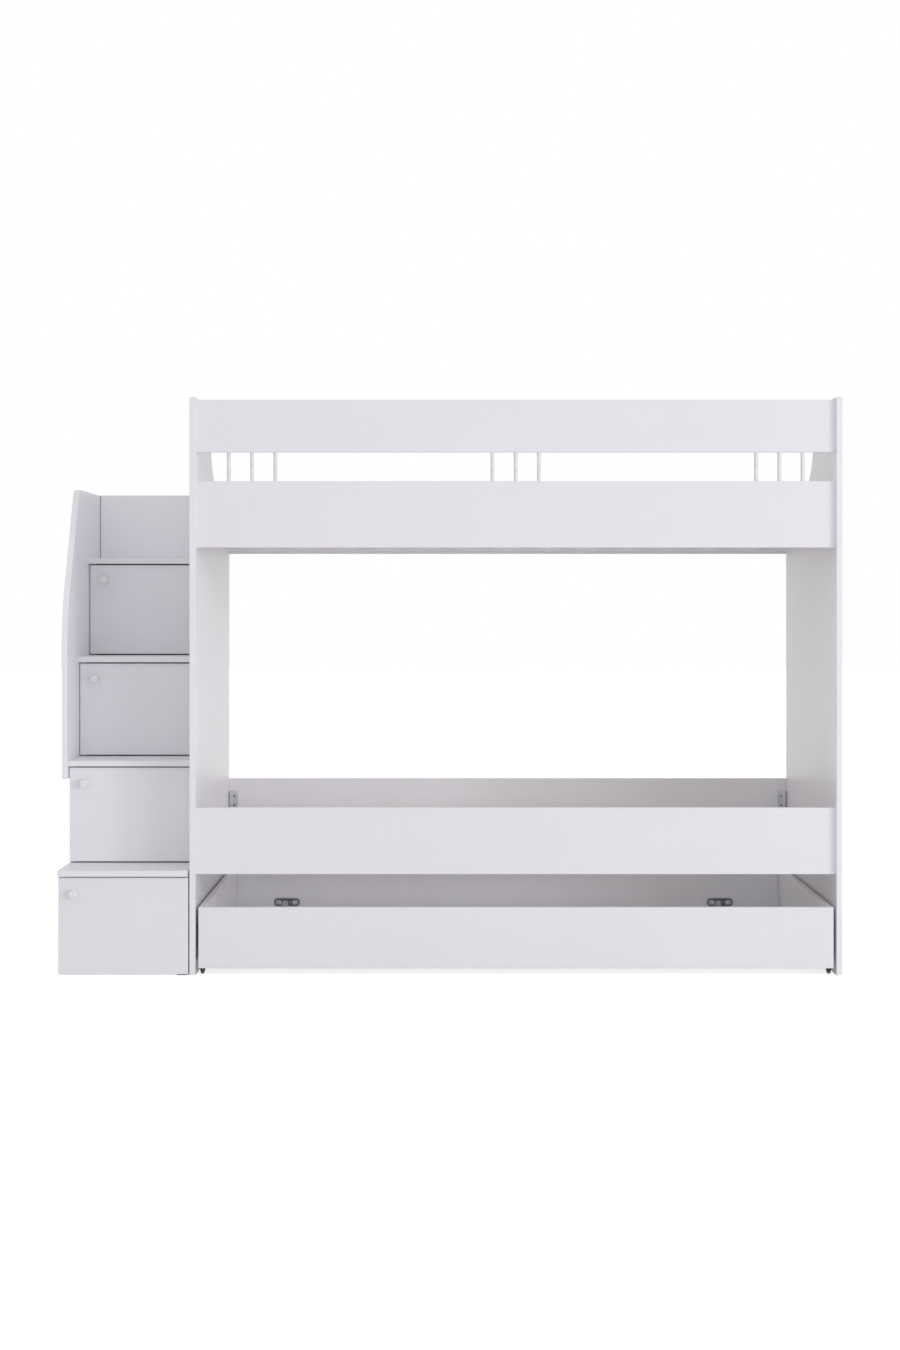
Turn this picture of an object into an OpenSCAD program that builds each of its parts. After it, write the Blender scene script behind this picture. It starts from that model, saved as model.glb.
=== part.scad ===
// White bunk bed with a staircase of four cupboards and a trundle drawer on wheels.
// Millimetres. X runs along the bed, Y from the front to the wall and Z up.
// The origin is on the floor, under the middle of the whole piece.

/* [Boards] */
// Thickness of every main board
board_t = 18; // [15:1:22]
// Rounding along the long edges of the boards
edge_r = 1.5; // [0.5:0.5:3]

/* [Bed] */
// Length over the two end panels
bed_len = 1960; // [1700:10:2200]
// Depth of the end panels, front to back
end_depth = 982; // [880:1:1100]
// Height of the end panels at the front
end_h = 1737; // [1500:1:1900]
// Depth of the tall front part of the end panels
tall_depth = 402; // [300:1:480]
// Radius of the sweep from the tall part down to the low part
sweep_r = 200; // [80:5:240]
// Radius of the tall part's rear top corner
tall_corner_r = 45; // [10:5:90]
// Radius of the tall part's front top corner
front_corner_r = 10; // [4:1:30]

/* [Rails] */
// Distance of the front rails behind the end panels' front edges
rail_setback = 18; // [5:1:40]
// Height of the side rails of both bunks
rail_h = 200; // [170:5:240]
// Height of the guard rail over the upper bunk
guard_h = 158; // [120:1:200]
// Top of the guard rail below the top of the end panels
guard_drop = 7; // [2:1:40]
// Bottom of the lower front rail above the floor
lower_rail_z = 302; // [280:1:320]
// Gap between the upper front rail and the guard rail
guard_gap = 87; // [50:1:120]
// Height of the lower rear rail over the lower front rail
lower_rear_rise = 10; // [0:1:15]
// Height of the upper rear rail over the upper front rail
upper_rear_rise = 3; // [0:1:15]

/* [Rods] */
// Diameter of the upright rods between guard rail and side rail
rod_d = 12; // [8:1:13]
// Distance between neighbouring rods of a group
rod_pitch = 70; // [40:1:90]
// Number of rods in a group
rods_in_group = 3; // [2:1:4]
// Distance from the end panel to the middle of the outer groups
rod_group_inset = 168; // [150:1:400]
// Length of a rod inside each rail
rod_seat = 20; // [10:1:40]

/* [Slats] */
// Number of slats in each bunk
slat_count = 14; // [9:1:16]
// Width of a slat
slat_w = 70; // [50:1:90]
// Thickness of a slat
slat_t = 18; // [12:1:24]
// Gap between a slat's end and the rail beside it
slat_play = 1; // [0.5:0.5:4]
// Height of the ledgers that carry the slats
ledger_h = 30; // [20:1:38]
// Width of the ledgers
ledger_w = 28; // [20:1:40]
// Underside of the slats above the bottom of the front rails
slat_lift = 42; // [40:1:60]

/* [Corner brackets] */
// Length of each leaf of a corner bracket
bracket_w = 28; // [24:1:40]
// Height of a corner bracket
bracket_h = 96; // [80:1:98]
// Thickness of the bracket steel
bracket_t = 2; // [1.5:0.5:3]
// Distance of a bracket's screws from its corner
bracket_screw_in = 17; // [14:1:19]
// Distance between the screws of a leaf
bracket_pitch = 32; // [24:1:36]
// Bottom of a bracket above the slats
bracket_lift = 10; // [5:1:12]

/* [Trundle drawer] */
// Gap between the drawer and each end panel
drawer_gap = 9; // [4:0.5:20]
// Height of the drawer front
drawer_front_h = 183; // [160:1:200]
// Bottom of the drawer front above the floor
drawer_front_z = 22; // [15:1:25]
// Thickness of the drawer's base board
base_t = 12; // [10:1:18]
// Number of battens under the base board
batten_count = 3; // [2:1:5]
// Width of a batten
batten_w = 60; // [40:1:80]
// Thickness of a batten
batten_t = 12; // [8:1:18]

/* [Wheels] */
// Diameter of a drawer wheel
wheel_d = 30; // [26:1:40]
// Width of a drawer wheel
wheel_w = 11; // [8:1:12]
// Width of the bevel on each side of a wheel's tread
wheel_bevel = 3.5; // [2:0.5:3.5]
// Diameter of a wheel's axle
axle_d = 4; // [3:1:6]
// Gap between a wheel's rim and the plate over it
wheel_clear = 2; // [1:0.5:5]
// Gap between a wheel's rim and the drawer front or the drawer's rear edge
wheel_gap = 3; // [3:1:20]

/* [Staircase] */
// Width of the staircase without its side guard
stair_w = 396; // [340:1:480]
// Height of one step
riser = 316; // [280:1:320]
// Depth of one step
going = 190; // [170:1:200]
// Depth of the landing, to the face of the back board
landing = 213; // [190:1:260]
// Overhang of a tread over the door below it
nose = 12; // [5:1:20]
// Height of the back board over the landing
back_rise = 216; // [150:1:230]
// Bottom of the side guard below the second tread's top
side_guard_drop = 56; // [40:1:100]
// Front edge of the side guard ahead of the second door
side_guard_lead = 24; // [10:1:40]
// Height over the third tread at which the side guard's front edge starts to lean back
side_guard_bend_rise = 127; // [60:1:180]
// Depth over which the side guard's front edge leans back
side_guard_lean = 214; // [120:1:260]
// Radius of the bend where it starts to lean back
side_guard_bend_r = 480; // [100:10:520]
// Radius of the corner at the side guard's top
side_guard_crown_r = 40; // [10:1:60]

/* [Doors] */
// Gap over and under a door
door_gap = 4; // [4:0.5:6]
// Gap beside a door on the hinge side
hinge_gap = 4; // [4:0.5:6]
// Gap beside a door on the opening side
latch_gap = 2; // [1:0.5:4]
// Gap between a door's back and the sides of its cupboard
door_back_gap = 3.5; // [3.5:0.5:6]
// Diameter of a hinge pin
pin_d = 5; // [4:0.5:6]
// Length of a hinge pin inside the door
pin_seat = 12; // [8:1:20]
// Thickness of a hinge plate
plate_t = 2; // [1.5:0.5:2.5]
// Diameter of a knob
knob_d = 28; // [20:1:35]
// Length of a knob in front of the door
knob_len = 25; // [18:1:32]
// Distance of a knob from the door's free edge
knob_side = 47; // [30:1:90]
// Distance of a knob from the door's top edge
knob_top = 48; // [30:1:120]

/* [Base fittings] */
// Length of a base fitting's plate
fitting_w = 88; // [76:1:110]
// Height of a base fitting's plate
fitting_h = 27; // [22:1:32]
// Bottom of a base fitting's plate above the base board
fitting_lift = 23.5; // [18:0.5:40]
// Distance of each base fitting from the drawer's middle
fitting_offset = 748; // [500:1:760]
// Shift of both base fittings towards the stairs
fitting_shift = 15; // [0:1:30]

/* [Hidden] */

$fn = 48;
steps = 4;
fit = 0.1;
eps = 0.01;
corner_arc = 8;
bend_arc = 16;
sweep_arc = 32;
least_straight = 1;
board_white = "#e6e6ea";
inner_white = "#dedee2";
rod_white = "#f2f2f4";
slat_wood = "#e0d6c6";
zinc = "#a9adb2";
dark_steel = "#3c3d42";
wheel_black = "#1c1c1e";
knob_white = "#f4f4f5";

// Lengths along X
overall_len = bed_len + stair_w + board_t;
guard_x = -overall_len / 2;
stair_x = guard_x + board_t;
bed_x = stair_x + stair_w;
bed_end_x = bed_x + bed_len;
inner_x = bed_x + board_t;
inner_end_x = bed_end_x - board_t;
bed_mid_x = (bed_x + bed_end_x) / 2;

// Depths along Y, from the end panels' front edges, where the first door's face lies
front_y = -(end_depth + board_t - knob_len) / 2;
rear_y = front_y + end_depth;
rail_y = front_y + rail_setback;
rail_back_y = rail_y + board_t;

// Heights along Z
guard_z = end_h - guard_drop - guard_h;
lower_rear_z = lower_rail_z + lower_rear_rise;
upper_rail_z = guard_z - guard_gap - rail_h;
upper_rear_z = upper_rail_z + upper_rear_rise;
low_h = upper_rear_z + rail_h;
lower_slat_z = lower_rail_z + slat_lift;
upper_slat_z = upper_rail_z + slat_lift;

// Staircase
stair_rear_y = front_y + (steps - 1) * going + landing;
stair_top = steps * riser + back_rise;
side_y = board_t + door_back_gap;
floor_board_z = 3;
side_guard_top_drop = 2;
side_guard_foot_r = 6;
stair_screw_y = 60;
stair_screw_bite = 10.8;
stair_screw_l = board_t + stair_screw_bite;
stair_screw_margin = 20;

// Doors
door_x = stair_x + latch_gap;
door_end_x = bed_x - hinge_gap;
door_h = riser - board_t - 2 * door_gap;
pin_inset = 8;
pin_x = door_end_x - pin_inset;
pin_play = 0.3;
pin_collar = 2;
pin_end_gap = 1;
plate_clear = 2;
plate_side_clear = 1;
plate_tip = 6;
plate_arm = 19;
plate_back = 44;
plate_right = hinge_gap + pin_inset - board_t - plate_side_clear;
plate_front = side_y - pin_inset - plate_clear;
hinge_screw_y = [24, 38];
knob_spigot_d = 8;
knob_spigot_l = 12;
knob_neck_d = 12;
knob_neck_l = 9;
knob_round = 6.5;

// Drawer
drawer_x = inner_x + drawer_gap;
drawer_end_x = inner_end_x - drawer_gap;
drawer_mid_x = (drawer_x + drawer_end_x) / 2;
drawer_top = drawer_front_z + drawer_front_h;
drawer_rear_y = rear_y + board_t;
fork_t = 1.5;
fork_gap = 0.4;
fork_plate_t = 3;
fork_half_l = 15;
fork_flange = 30;
fork_cheek_half = 8;
fork_boss_r = 5;
fork_web = 5.6;
fork_web_t = 2;
fork_screw = [21, 9];
fork_screw_bite = 9;
axle_proud = 1;
base_z = wheel_d + wheel_clear + fork_plate_t;
base_top = base_z + base_t;
drawer_screw_margin = 40;
drawer_screw_y = [150, 500, 850];
fitting_t = 2;
fitting_z = base_top + fitting_lift;
fitting_end_r = 11;
fitting_screw_x = 24.5;
fitting_barrel_d = 7;
fitting_barrel_l = 50;
fitting_barrel_drop = 4;
fitting_arm_t = 4;
fitting_arm = [[-12, 10], [2, 10], [8, -24.5], [-20, -24.5]];
fitting_rivet_x = 9;
fitting_rivet_d = 6;
rivet_h = 1.5;

// Fasteners
screw_margin = 40;
screw_d = 4.5;
screw_head_d = 9;
screw_head_top_d = 7;
screw_head_h = 2.4;
screw_bite = 14;
small_screw_d = 3.5;
long_screw_d = 5;
long_screw_neck_d = 7;
long_screw_head_d = 10;
long_screw_head_h = 4;
long_screw_bite = 32;
flat_head_d = 7;
flat_head_h = 1.4;

// Rotation that turns +Z towards an axis direction
function turn(v) = v.z != 0 ? [v.z > 0 ? 0 : 180, 0, 0]
    : v.x != 0 ? [0, 90 * v.x, 0] : [-90 * v.y, 0, 0];

// Points of an arc of radius r that rounds the corner p between a and b
function corner(a, p, b, r, n = corner_arc) =
    let (u = (a - p) / norm(a - p),
         v = (b - p) / norm(b - p),
         half = acos(u * v) / 2,
         c = p + (u + v) / norm(u + v) * r / sin(half),
         s = p + u * r / tan(half) - c,
         e = p + v * r / tan(half) - c,
         a0 = atan2(s.y, s.x),
         raw = atan2(e.y, e.x) - a0,
         sweep = raw > 180 ? raw - 360 : raw < -180 ? raw + 360 : raw)
    [for (i = [0 : n]) c + r * [cos(a0 + sweep * i / n), sin(a0 + sweep * i / n)]];

module rounded_rect(w, h, r) {
    translate([r, 0]) square([w - 2 * r, h]);
    translate([0, r]) square([w, h - 2 * r]);
    for (x = [r, w - r], y = [r, h - r])
        translate([x, y]) circle(r);
}

module prism_x(s, r) {
    rotate([90, 0, 90]) linear_extrude(s.x) rounded_rect(s.y, s.z, r);
}

module prism_y(s, r) {
    translate([0, s.y, 0]) rotate([90, 0, 0]) linear_extrude(s.y) rounded_rect(s.x, s.z, r);
}

module prism_z(s, r) {
    linear_extrude(s.z) rounded_rect(s.x, s.y, r);
}

// A board between two corners, with the arrises round its face rounded
module board(lo, hi) {
    s = hi - lo;
    thin = min(s);
    translate(lo)
        if (thin == s.x)
            intersection() {
                prism_y(s, edge_r);
                prism_z(s, edge_r);
            }
        else if (thin == s.y)
            intersection() {
                prism_x(s, edge_r);
                prism_z(s, edge_r);
            }
        else
            intersection() {
                prism_x(s, edge_r);
                prism_y(s, edge_r);
            }
}

module block(lo, hi) {
    translate(lo) cube(hi - lo);
}

// A round bar from point p along direction v
module bar(p, v, d, l) {
    translate(p) rotate(turn(v)) cylinder(d = d, h = l);
}

// A pan-head screw whose head bears on point p
module pan_screw(p, v, l) {
    translate(p) rotate(turn(v)) {
        translate([0, 0, -screw_head_h])
            cylinder(d1 = screw_head_top_d, d2 = screw_head_d, h = screw_head_h);
        cylinder(d = screw_d, h = l);
    }
}

// A long screw through one board into the end grain of the next, head flush at point p
module long_screw(p, v, through = board_t) {
    translate(p) rotate(turn(v)) {
        cylinder(d = long_screw_head_d, h = long_screw_head_h);
        cylinder(d = long_screw_neck_d, h = through);
        cylinder(d = long_screw_d, h = through + long_screw_bite);
    }
}

module long_screw_bore(p, v, through = board_t) {
    translate(p) rotate(turn(v)) {
        translate([0, 0, -eps]) cylinder(d = long_screw_head_d + fit, h = long_screw_head_h + eps);
        cylinder(d = long_screw_neck_d + fit, h = through);
        cylinder(d = long_screw_d + fit, h = through + long_screw_bite + fit);
    }
}

function screw_heights(z, h) = [z + screw_margin, z + h - screw_margin];

// Heights of the screws in the three front rails
front_screw_z = concat(
    screw_heights(guard_z, guard_h),
    screw_heights(upper_rail_z, rail_h),
    screw_heights(lower_rail_z, rail_h));

// Heights of the screws in the two rear rails
rear_screw_z = concat(
    screw_heights(upper_rear_z, rail_h),
    screw_heights(lower_rear_z, rail_h));

module at_frame_screws() {
    for (z = front_screw_z) {
        $at = [bed_x, rail_y + board_t / 2, z];
        $dir = [1, 0, 0];
        children();
    }
    for (z = front_screw_z) {
        $at = [bed_end_x, rail_y + board_t / 2, z];
        $dir = [-1, 0, 0];
        children();
    }
    for (z = rear_screw_z, x = [bed_x + board_t / 2, bed_end_x - board_t / 2]) {
        $at = [x, rear_y + board_t, z];
        $dir = [0, -1, 0];
        children();
    }
}

module frame_screw_bores() {
    at_frame_screws() long_screw_bore($at, $dir);
}

// Corner brackets: corner point and the directions of the two leaves
bracket_corners = [
    for (slat_z = [lower_slat_z, upper_slat_z], x = [inner_x, inner_end_x], y = [rail_back_y, rear_y])
        [[x, y, slat_z + slat_t + bracket_lift],
         [x < bed_mid_x ? 1 : -1, y < (front_y + rear_y) / 2 ? 1 : -1]]
];

// Three screws up each leaf: first those in the rails, then those in the end panels
module at_bracket_screws() {
    for (b = bracket_corners, i = [-1 : 1]) {
        p = b[0] + [0, 0, bracket_h / 2 + i * bracket_pitch];
        $at = p + [b[1].x * bracket_screw_in, b[1].y * bracket_t, 0];
        $dir = [0, -b[1].y, 0];
        children();
    }
    for (b = bracket_corners, i = [-1 : 1]) {
        p = b[0] + [0, 0, bracket_h / 2 + i * bracket_pitch];
        $at = p + [b[1].x * bracket_t, b[1].y * bracket_screw_in, 0];
        $dir = [-b[1].x, 0, 0];
        children();
    }
}

module bracket_screw_bores() {
    at_bracket_screws() bar($at, $dir, screw_d + fit, bracket_t + screw_bite + fit);
}

// Heights of the screws in the side guard, which starts partway up the second cupboard
guard_screw_z = [
    for (k = [2 : steps])
        max((k - 0.5) * riser, 2 * riser - side_guard_drop + stair_screw_margin)
];

// Screws that tie the cupboards to the bed and the side guard to the cupboards
module at_stair_screws() {
    depths = [stair_rear_y - landing + stair_screw_y, stair_rear_y - stair_screw_y];
    for (k = [1 : steps], y = depths) {
        $at = [bed_x - board_t, y, (k - 0.5) * riser];
        $dir = [1, 0, 0];
        children();
    }
    for (z = guard_screw_z, y = depths) {
        $at = [stair_x + board_t, y, z];
        $dir = [-1, 0, 0];
        children();
    }
}

module stair_screw_bores() {
    at_stair_screws() bar($at - eps * $dir, $dir, screw_d + fit, stair_screw_l + fit + eps);
}

// Outline of an end panel, depth along x and height along y
end_outline = let (
        foot = [0, 0],
        top = [0, end_h],
        shoulder = [tall_depth, end_h],
        dip = [tall_depth, low_h],
        tail = [end_depth, low_h],
        heel = [end_depth, 0],
        room = end_h - low_h - tall_corner_r - least_straight)
    concat(
        [foot],
        corner(foot, top, shoulder, front_corner_r),
        corner(top, shoulder, dip, tall_corner_r, bend_arc),
        corner(shoulder, dip, tail, min(sweep_r, room), sweep_arc),
        [tail, heel]);

module end_panel(x) {
    difference() {
        intersection() {
            translate([x, front_y, 0]) rotate([90, 0, 90]) linear_extrude(board_t) polygon(end_outline);
            translate([x, front_y, 0]) prism_z([board_t, end_depth, end_h], edge_r);
        }
        frame_screw_bores();
        bracket_screw_bores();
        stair_screw_bores();
    }
}

module left_end_panel() {
    color(board_white) end_panel(bed_x);
}

module right_end_panel() {
    color(board_white) end_panel(inner_end_x);
}

// The front rails stand between the end panels, so their ends are square
module front_rail(z, h) {
    difference() {
        translate([inner_x, rail_y, z]) prism_x([inner_end_x - inner_x, board_t, h], edge_r);
        frame_screw_bores();
        bracket_screw_bores();
        rod_set(fit);
    }
}

module rear_rail(z) {
    difference() {
        board([bed_x, rear_y, z], [bed_end_x, rear_y + board_t, z + rail_h]);
        frame_screw_bores();
        bracket_screw_bores();
    }
}

// Middles of the three groups of rods
rod_group_x = [inner_x + rod_group_inset, bed_mid_x, inner_end_x - rod_group_inset];

module rod_set(extra = 0) {
    z = upper_rail_z + rail_h - rod_seat - extra;
    l = guard_z + rod_seat + extra - z;
    for (group = rod_group_x, i = [0 : rods_in_group - 1])
        bar([group + (i - (rods_in_group - 1) / 2) * rod_pitch, rail_y + board_t / 2, z],
            [0, 0, 1], rod_d + extra, l);
}

module guard_rail() {
    color(board_white) front_rail(guard_z, guard_h);
}

module guard_rods() {
    color(rod_white) rod_set();
}

module upper_front_rail() {
    color(board_white) front_rail(upper_rail_z, rail_h);
}

module upper_rear_rail() {
    color(board_white) rear_rail(upper_rear_z);
}

module lower_front_rail() {
    color(board_white) front_rail(lower_rail_z, rail_h);
}

module lower_rear_rail() {
    color(board_white) rear_rail(lower_rear_z);
}

module ledgers(slat_z) {
    color(inner_white)
        for (y = [rail_back_y, rear_y - ledger_w])
            translate([inner_x, y, slat_z - ledger_h])
                prism_x([inner_end_x - inner_x, ledger_w, ledger_h], edge_r);
}

module slats(slat_z) {
    pitch = (inner_end_x - inner_x) / slat_count;
    color(slat_wood)
        for (i = [0 : slat_count - 1])
            translate([inner_x + (i + 0.5) * pitch - slat_w / 2, 0, 0])
                board([0, rail_back_y + slat_play, slat_z], [slat_w, rear_y - slat_play, slat_z + slat_t]);
}

module corner_brackets() {
    color(zinc)
        difference() {
            for (b = bracket_corners)
                translate(b[0]) scale([b[1].x, b[1].y, 1]) {
                    cube([bracket_w, bracket_t, bracket_h]);
                    cube([bracket_t, bracket_w, bracket_h]);
                }
            bracket_screw_bores();
        }
}

module bracket_screws() {
    color(zinc) at_bracket_screws() pan_screw($at, $dir, bracket_t + screw_bite);
}

module frame_screws() {
    color(zinc) at_frame_screws() long_screw($at, $dir);
}

module stair_back_panel() {
    color(board_white)
        board([stair_x, stair_rear_y, 0], [bed_x, stair_rear_y + board_t, stair_top]);
}

// Outline of the stair's side guard, depth along x and height along y
guard_front = going - side_guard_lead;
guard_rear = stair_rear_y + board_t - front_y;
guard_outline = let (
        bottom = 2 * riser - side_guard_drop,
        top = stair_top - side_guard_top_drop,
        foot = [guard_front, bottom],
        bend = [guard_front, 3 * riser + side_guard_bend_rise],
        crown = [guard_front + side_guard_lean, top],
        tail = [guard_rear, top],
        heel = [guard_rear, bottom])
    concat(
        corner(heel, foot, bend, side_guard_foot_r),
        corner(foot, bend, crown, side_guard_bend_r, bend_arc),
        corner(bend, crown, tail, side_guard_crown_r, bend_arc),
        corner(crown, tail, heel, side_guard_foot_r),
        [heel]);

module stair_side_guard() {
    color(board_white)
        difference() {
            intersection() {
                translate([guard_x, front_y, 0])
                    rotate([90, 0, 90]) linear_extrude(board_t) polygon(guard_outline);
                translate([guard_x, front_y + guard_front, 0])
                    prism_z([board_t, guard_rear - guard_front, stair_top], edge_r);
            }
            stair_screw_bores();
        }
}

module stair_floor_board() {
    color(inner_white)
        difference() {
            board([stair_x + board_t, front_y + side_y, floor_board_z],
                  [bed_x - board_t, stair_rear_y, floor_board_z + board_t]);
            hinge_screw_bores();
        }
}

module tread(k) {
    color(board_white)
        difference() {
            board([stair_x, front_y + (k - 1) * going - nose, k * riser - board_t],
                  [bed_x - hinge_gap, stair_rear_y, k * riser]);
            hinge_screw_bores();
        }
}

module cupboard_side(k, x) {
    difference() {
        board([x, front_y + (k - 1) * going + side_y, (k - 1) * riser],
              [x + board_t, stair_rear_y, k * riser - board_t]);
        stair_screw_bores();
    }
}

module left_side(k) {
    color(inner_white) cupboard_side(k, stair_x);
}

module right_side(k) {
    color(inner_white) cupboard_side(k, bed_x - board_t);
}

module stair_screws() {
    color(zinc) at_stair_screws() pan_screw($at, $dir, stair_screw_l);
}

// A hinge plate's seat, the direction from it to the door, the gap to the door and whether
// the plate hangs under its board, so that its screws go up through it
hinge_spots = [
    for (k = [1 : steps], top = [false, true])
        let (under_floor = k == 1 && !top,
             y = front_y + (k - 1) * going + pin_inset,
             z = top ? k * riser - board_t : under_floor ? floor_board_z - plate_t : (k - 1) * riser)
        [[pin_x, y, z], top ? -1 : 1, under_floor ? door_gap - z : door_gap, under_floor]
];

module at_hinge_screws() {
    for (spot = hinge_spots, y = hinge_screw_y) {
        outer = spot[3] ? 0 : spot[1] * plate_t;
        $at = spot[0] + [plate_right - plate_arm / 2, y, outer];
        $dir = [0, 0, spot[3] ? 1 : -spot[1]];
        children();
    }
}

module hinge_screw_bores() {
    at_hinge_screws() bar($at, $dir, small_screw_d + fit, screw_bite + fit);
}

// A flat plate with a pin that stands in the door's edge, and a collar that spaces the door
module hinge_plate(gap) {
    linear_extrude(plate_t) {
        translate([plate_right - plate_arm, -plate_tip])
            square([plate_arm - plate_right, plate_tip + plate_front]);
        translate([plate_right - plate_arm, -plate_tip])
            square([plate_arm, plate_tip + plate_back]);
        circle(plate_tip);
    }
    cylinder(d = pin_d + 2 * pin_collar, h = gap - pin_play);
    cylinder(d = pin_d, h = gap + pin_seat);
}

module hinge_plates() {
    color(dark_steel)
        difference() {
            for (spot = hinge_spots)
                translate(spot[0])
                    if (spot[1] > 0)
                        hinge_plate(spot[2]);
                    else
                        mirror([0, 0, 1]) hinge_plate(spot[2]);
            at_hinge_screws() {
                bar($at - eps * $dir, $dir, flat_head_d + fit, flat_head_h + fit);
                bar($at, $dir, small_screw_d + fit, plate_t + eps);
            }
        }
}

module hinge_screws() {
    color(zinc)
        at_hinge_screws() {
            bar($at, $dir, flat_head_d, flat_head_h);
            bar($at, $dir, small_screw_d, screw_bite);
        }
}

function door_z(k) = (k - 1) * riser + door_gap;

function knob_at(k) = [door_x + knob_side, front_y + (k - 1) * going, door_z(k) + door_h - knob_top];

module door(k) {
    y = front_y + (k - 1) * going;
    z = door_z(k);
    color(board_white)
        difference() {
            board([door_x, y, z], [door_end_x, y + board_t, z + door_h]);
            bar([pin_x, y + pin_inset, z - eps], [0, 0, 1], pin_d + fit, pin_seat + pin_end_gap);
            bar([pin_x, y + pin_inset, z + door_h + eps], [0, 0, -1], pin_d + fit,
                pin_seat + pin_end_gap);
            bar(knob_at(k) - [0, eps, 0], [0, 1, 0], knob_spigot_d + fit, knob_spigot_l + fit);
        }
}

module knob(k) {
    head_l = knob_len - knob_neck_l;
    color(knob_white)
        translate(knob_at(k)) rotate([90, 0, 0]) {
            rotate_extrude() {
                square([knob_neck_d / 2, knob_neck_l + knob_round]);
                translate([0, knob_neck_l]) {
                    square([knob_d / 2 - knob_round, head_l]);
                    translate([0, knob_round]) square([knob_d / 2, head_l - 2 * knob_round]);
                    for (y = [knob_round, head_l - knob_round])
                        translate([knob_d / 2 - knob_round, y]) circle(knob_round);
                }
            }
            translate([0, 0, -knob_spigot_l]) cylinder(d = knob_spigot_d, h = knob_spigot_l + knob_neck_l);
        }
}

module drawer_front() {
    color(board_white)
        board([drawer_x, front_y, drawer_front_z], [drawer_end_x, front_y + board_t, drawer_top]);
}

module drawer_side(x) {
    color(board_white)
        difference() {
            board([x, front_y + board_t, base_top], [x + board_t, drawer_rear_y, drawer_top]);
            drawer_screw_bores();
        }
}

module drawer_left_side() {
    drawer_side(drawer_x);
}

module drawer_right_side() {
    drawer_side(drawer_end_x - board_t);
}

module drawer_back() {
    color(board_white)
        difference() {
            board([drawer_x + board_t, rear_y, base_top],
                  [drawer_end_x - board_t, drawer_rear_y, drawer_top]);
            drawer_screw_bores();
            fitting_screw_bores();
        }
}

module drawer_base() {
    color(inner_white)
        difference() {
            board([drawer_x, front_y + board_t, base_z], [drawer_end_x, drawer_rear_y, base_top]);
            drawer_screw_bores();
            fork_screw_bores();
        }
}

module drawer_battens() {
    span = drawer_end_x - drawer_x;
    color(slat_wood)
        for (i = [1 : batten_count])
            translate([drawer_x + span * i / (batten_count + 1) - batten_w / 2, 0, 0])
                board([0, front_y + board_t, base_z - batten_t], [batten_w, drawer_rear_y, base_z]);
}

// Screws through the sides into the back, and up through the base into the sides
module at_drawer_screws() {
    for (z = [base_top + drawer_screw_margin, drawer_top - drawer_screw_margin], right = [0, 1]) {
        $at = [right ? drawer_end_x : drawer_x, rear_y + board_t / 2, z];
        $dir = [right ? -1 : 1, 0, 0];
        $through = board_t;
        children();
    }
    for (y = drawer_screw_y, x = [drawer_x + board_t / 2, drawer_end_x - board_t / 2]) {
        $at = [x, front_y + y, base_z];
        $dir = [0, 0, 1];
        $through = base_t;
        children();
    }
}

module drawer_screw_bores() {
    at_drawer_screws() long_screw_bore($at, $dir, $through);
}

module drawer_screws() {
    color(zinc) at_drawer_screws() long_screw($at, $dir, $through);
}

fitting_spots = [
    for (side = [-1, 1])
        [drawer_mid_x - fitting_shift + side * fitting_offset, rear_y, fitting_z + fitting_h / 2]
];

module at_fitting_screws() {
    for (p = fitting_spots, side = [-1, 1]) {
        $at = p + [side * fitting_screw_x, -fitting_t, 0];
        $dir = [0, 1, 0];
        children();
    }
}

module fitting_screw_bores() {
    at_fitting_screws() bar($at, $dir, small_screw_d + fit, fitting_t + screw_bite + fit);
}

// A rounded plate on the drawer's back with a barrel along its top and an arm that hangs from it
module base_fitting(p) {
    face_y = rear_y - fitting_t;
    translate([p.x - fitting_w / 2, rear_y, p.z - fitting_h / 2])
        rotate([90, 0, 0]) linear_extrude(fitting_t) rounded_rect(fitting_w, fitting_h, fitting_end_r);
    bar([p.x - fitting_barrel_l / 2, face_y - fitting_barrel_d / 2 + eps,
         p.z + fitting_h / 2 - fitting_barrel_drop],
        [1, 0, 0], fitting_barrel_d, fitting_barrel_l);
    translate([p.x, face_y + eps, p.z])
        rotate([90, 0, 0]) linear_extrude(fitting_arm_t) polygon(fitting_arm);
    bar([p.x + fitting_rivet_x, face_y + eps, p.z], [0, -1, 0], fitting_rivet_d, rivet_h);
}

module base_fittings() {
    color(dark_steel)
        difference() {
            for (p = fitting_spots) base_fitting(p);
            fitting_screw_bores();
        }
}

module fitting_screws() {
    color(zinc)
        at_fitting_screws() {
            bar($at, -$dir, screw_head_d, rivet_h);
            bar($at, $dir, small_screw_d, fitting_t + screw_bite);
        }
}

wheel_y = front_y + board_t + wheel_gap + wheel_d / 2;
wheel_rear_y = drawer_rear_y - wheel_gap - wheel_d / 2;

// Middle of a wheel, by side and end
function wheel_at(right, rear) =
    [right ? drawer_end_x - board_t / 2 : drawer_x + board_t / 2,
     rear ? wheel_rear_y : wheel_y,
     wheel_d / 2];

// Each wheel's middle, and the direction from it to the middle of the drawer
module at_wheels() {
    for (right = [false, true], rear = [false, true]) {
        $at = wheel_at(right, rear);
        $in = right ? -1 : 1;
        children();
    }
}

module at_fork_screws() {
    at_wheels()
        for (side = [-1, 1]) {
            $at = [$at.x + $in * fork_screw.x, $at.y + side * fork_screw.y, base_z - fork_plate_t];
            $dir = [0, 0, 1];
            children();
        }
}

module fork_screw_bores() {
    at_fork_screws() bar($at, $dir, small_screw_d + fit, fork_plate_t + fork_screw_bite + fit);
}

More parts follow.
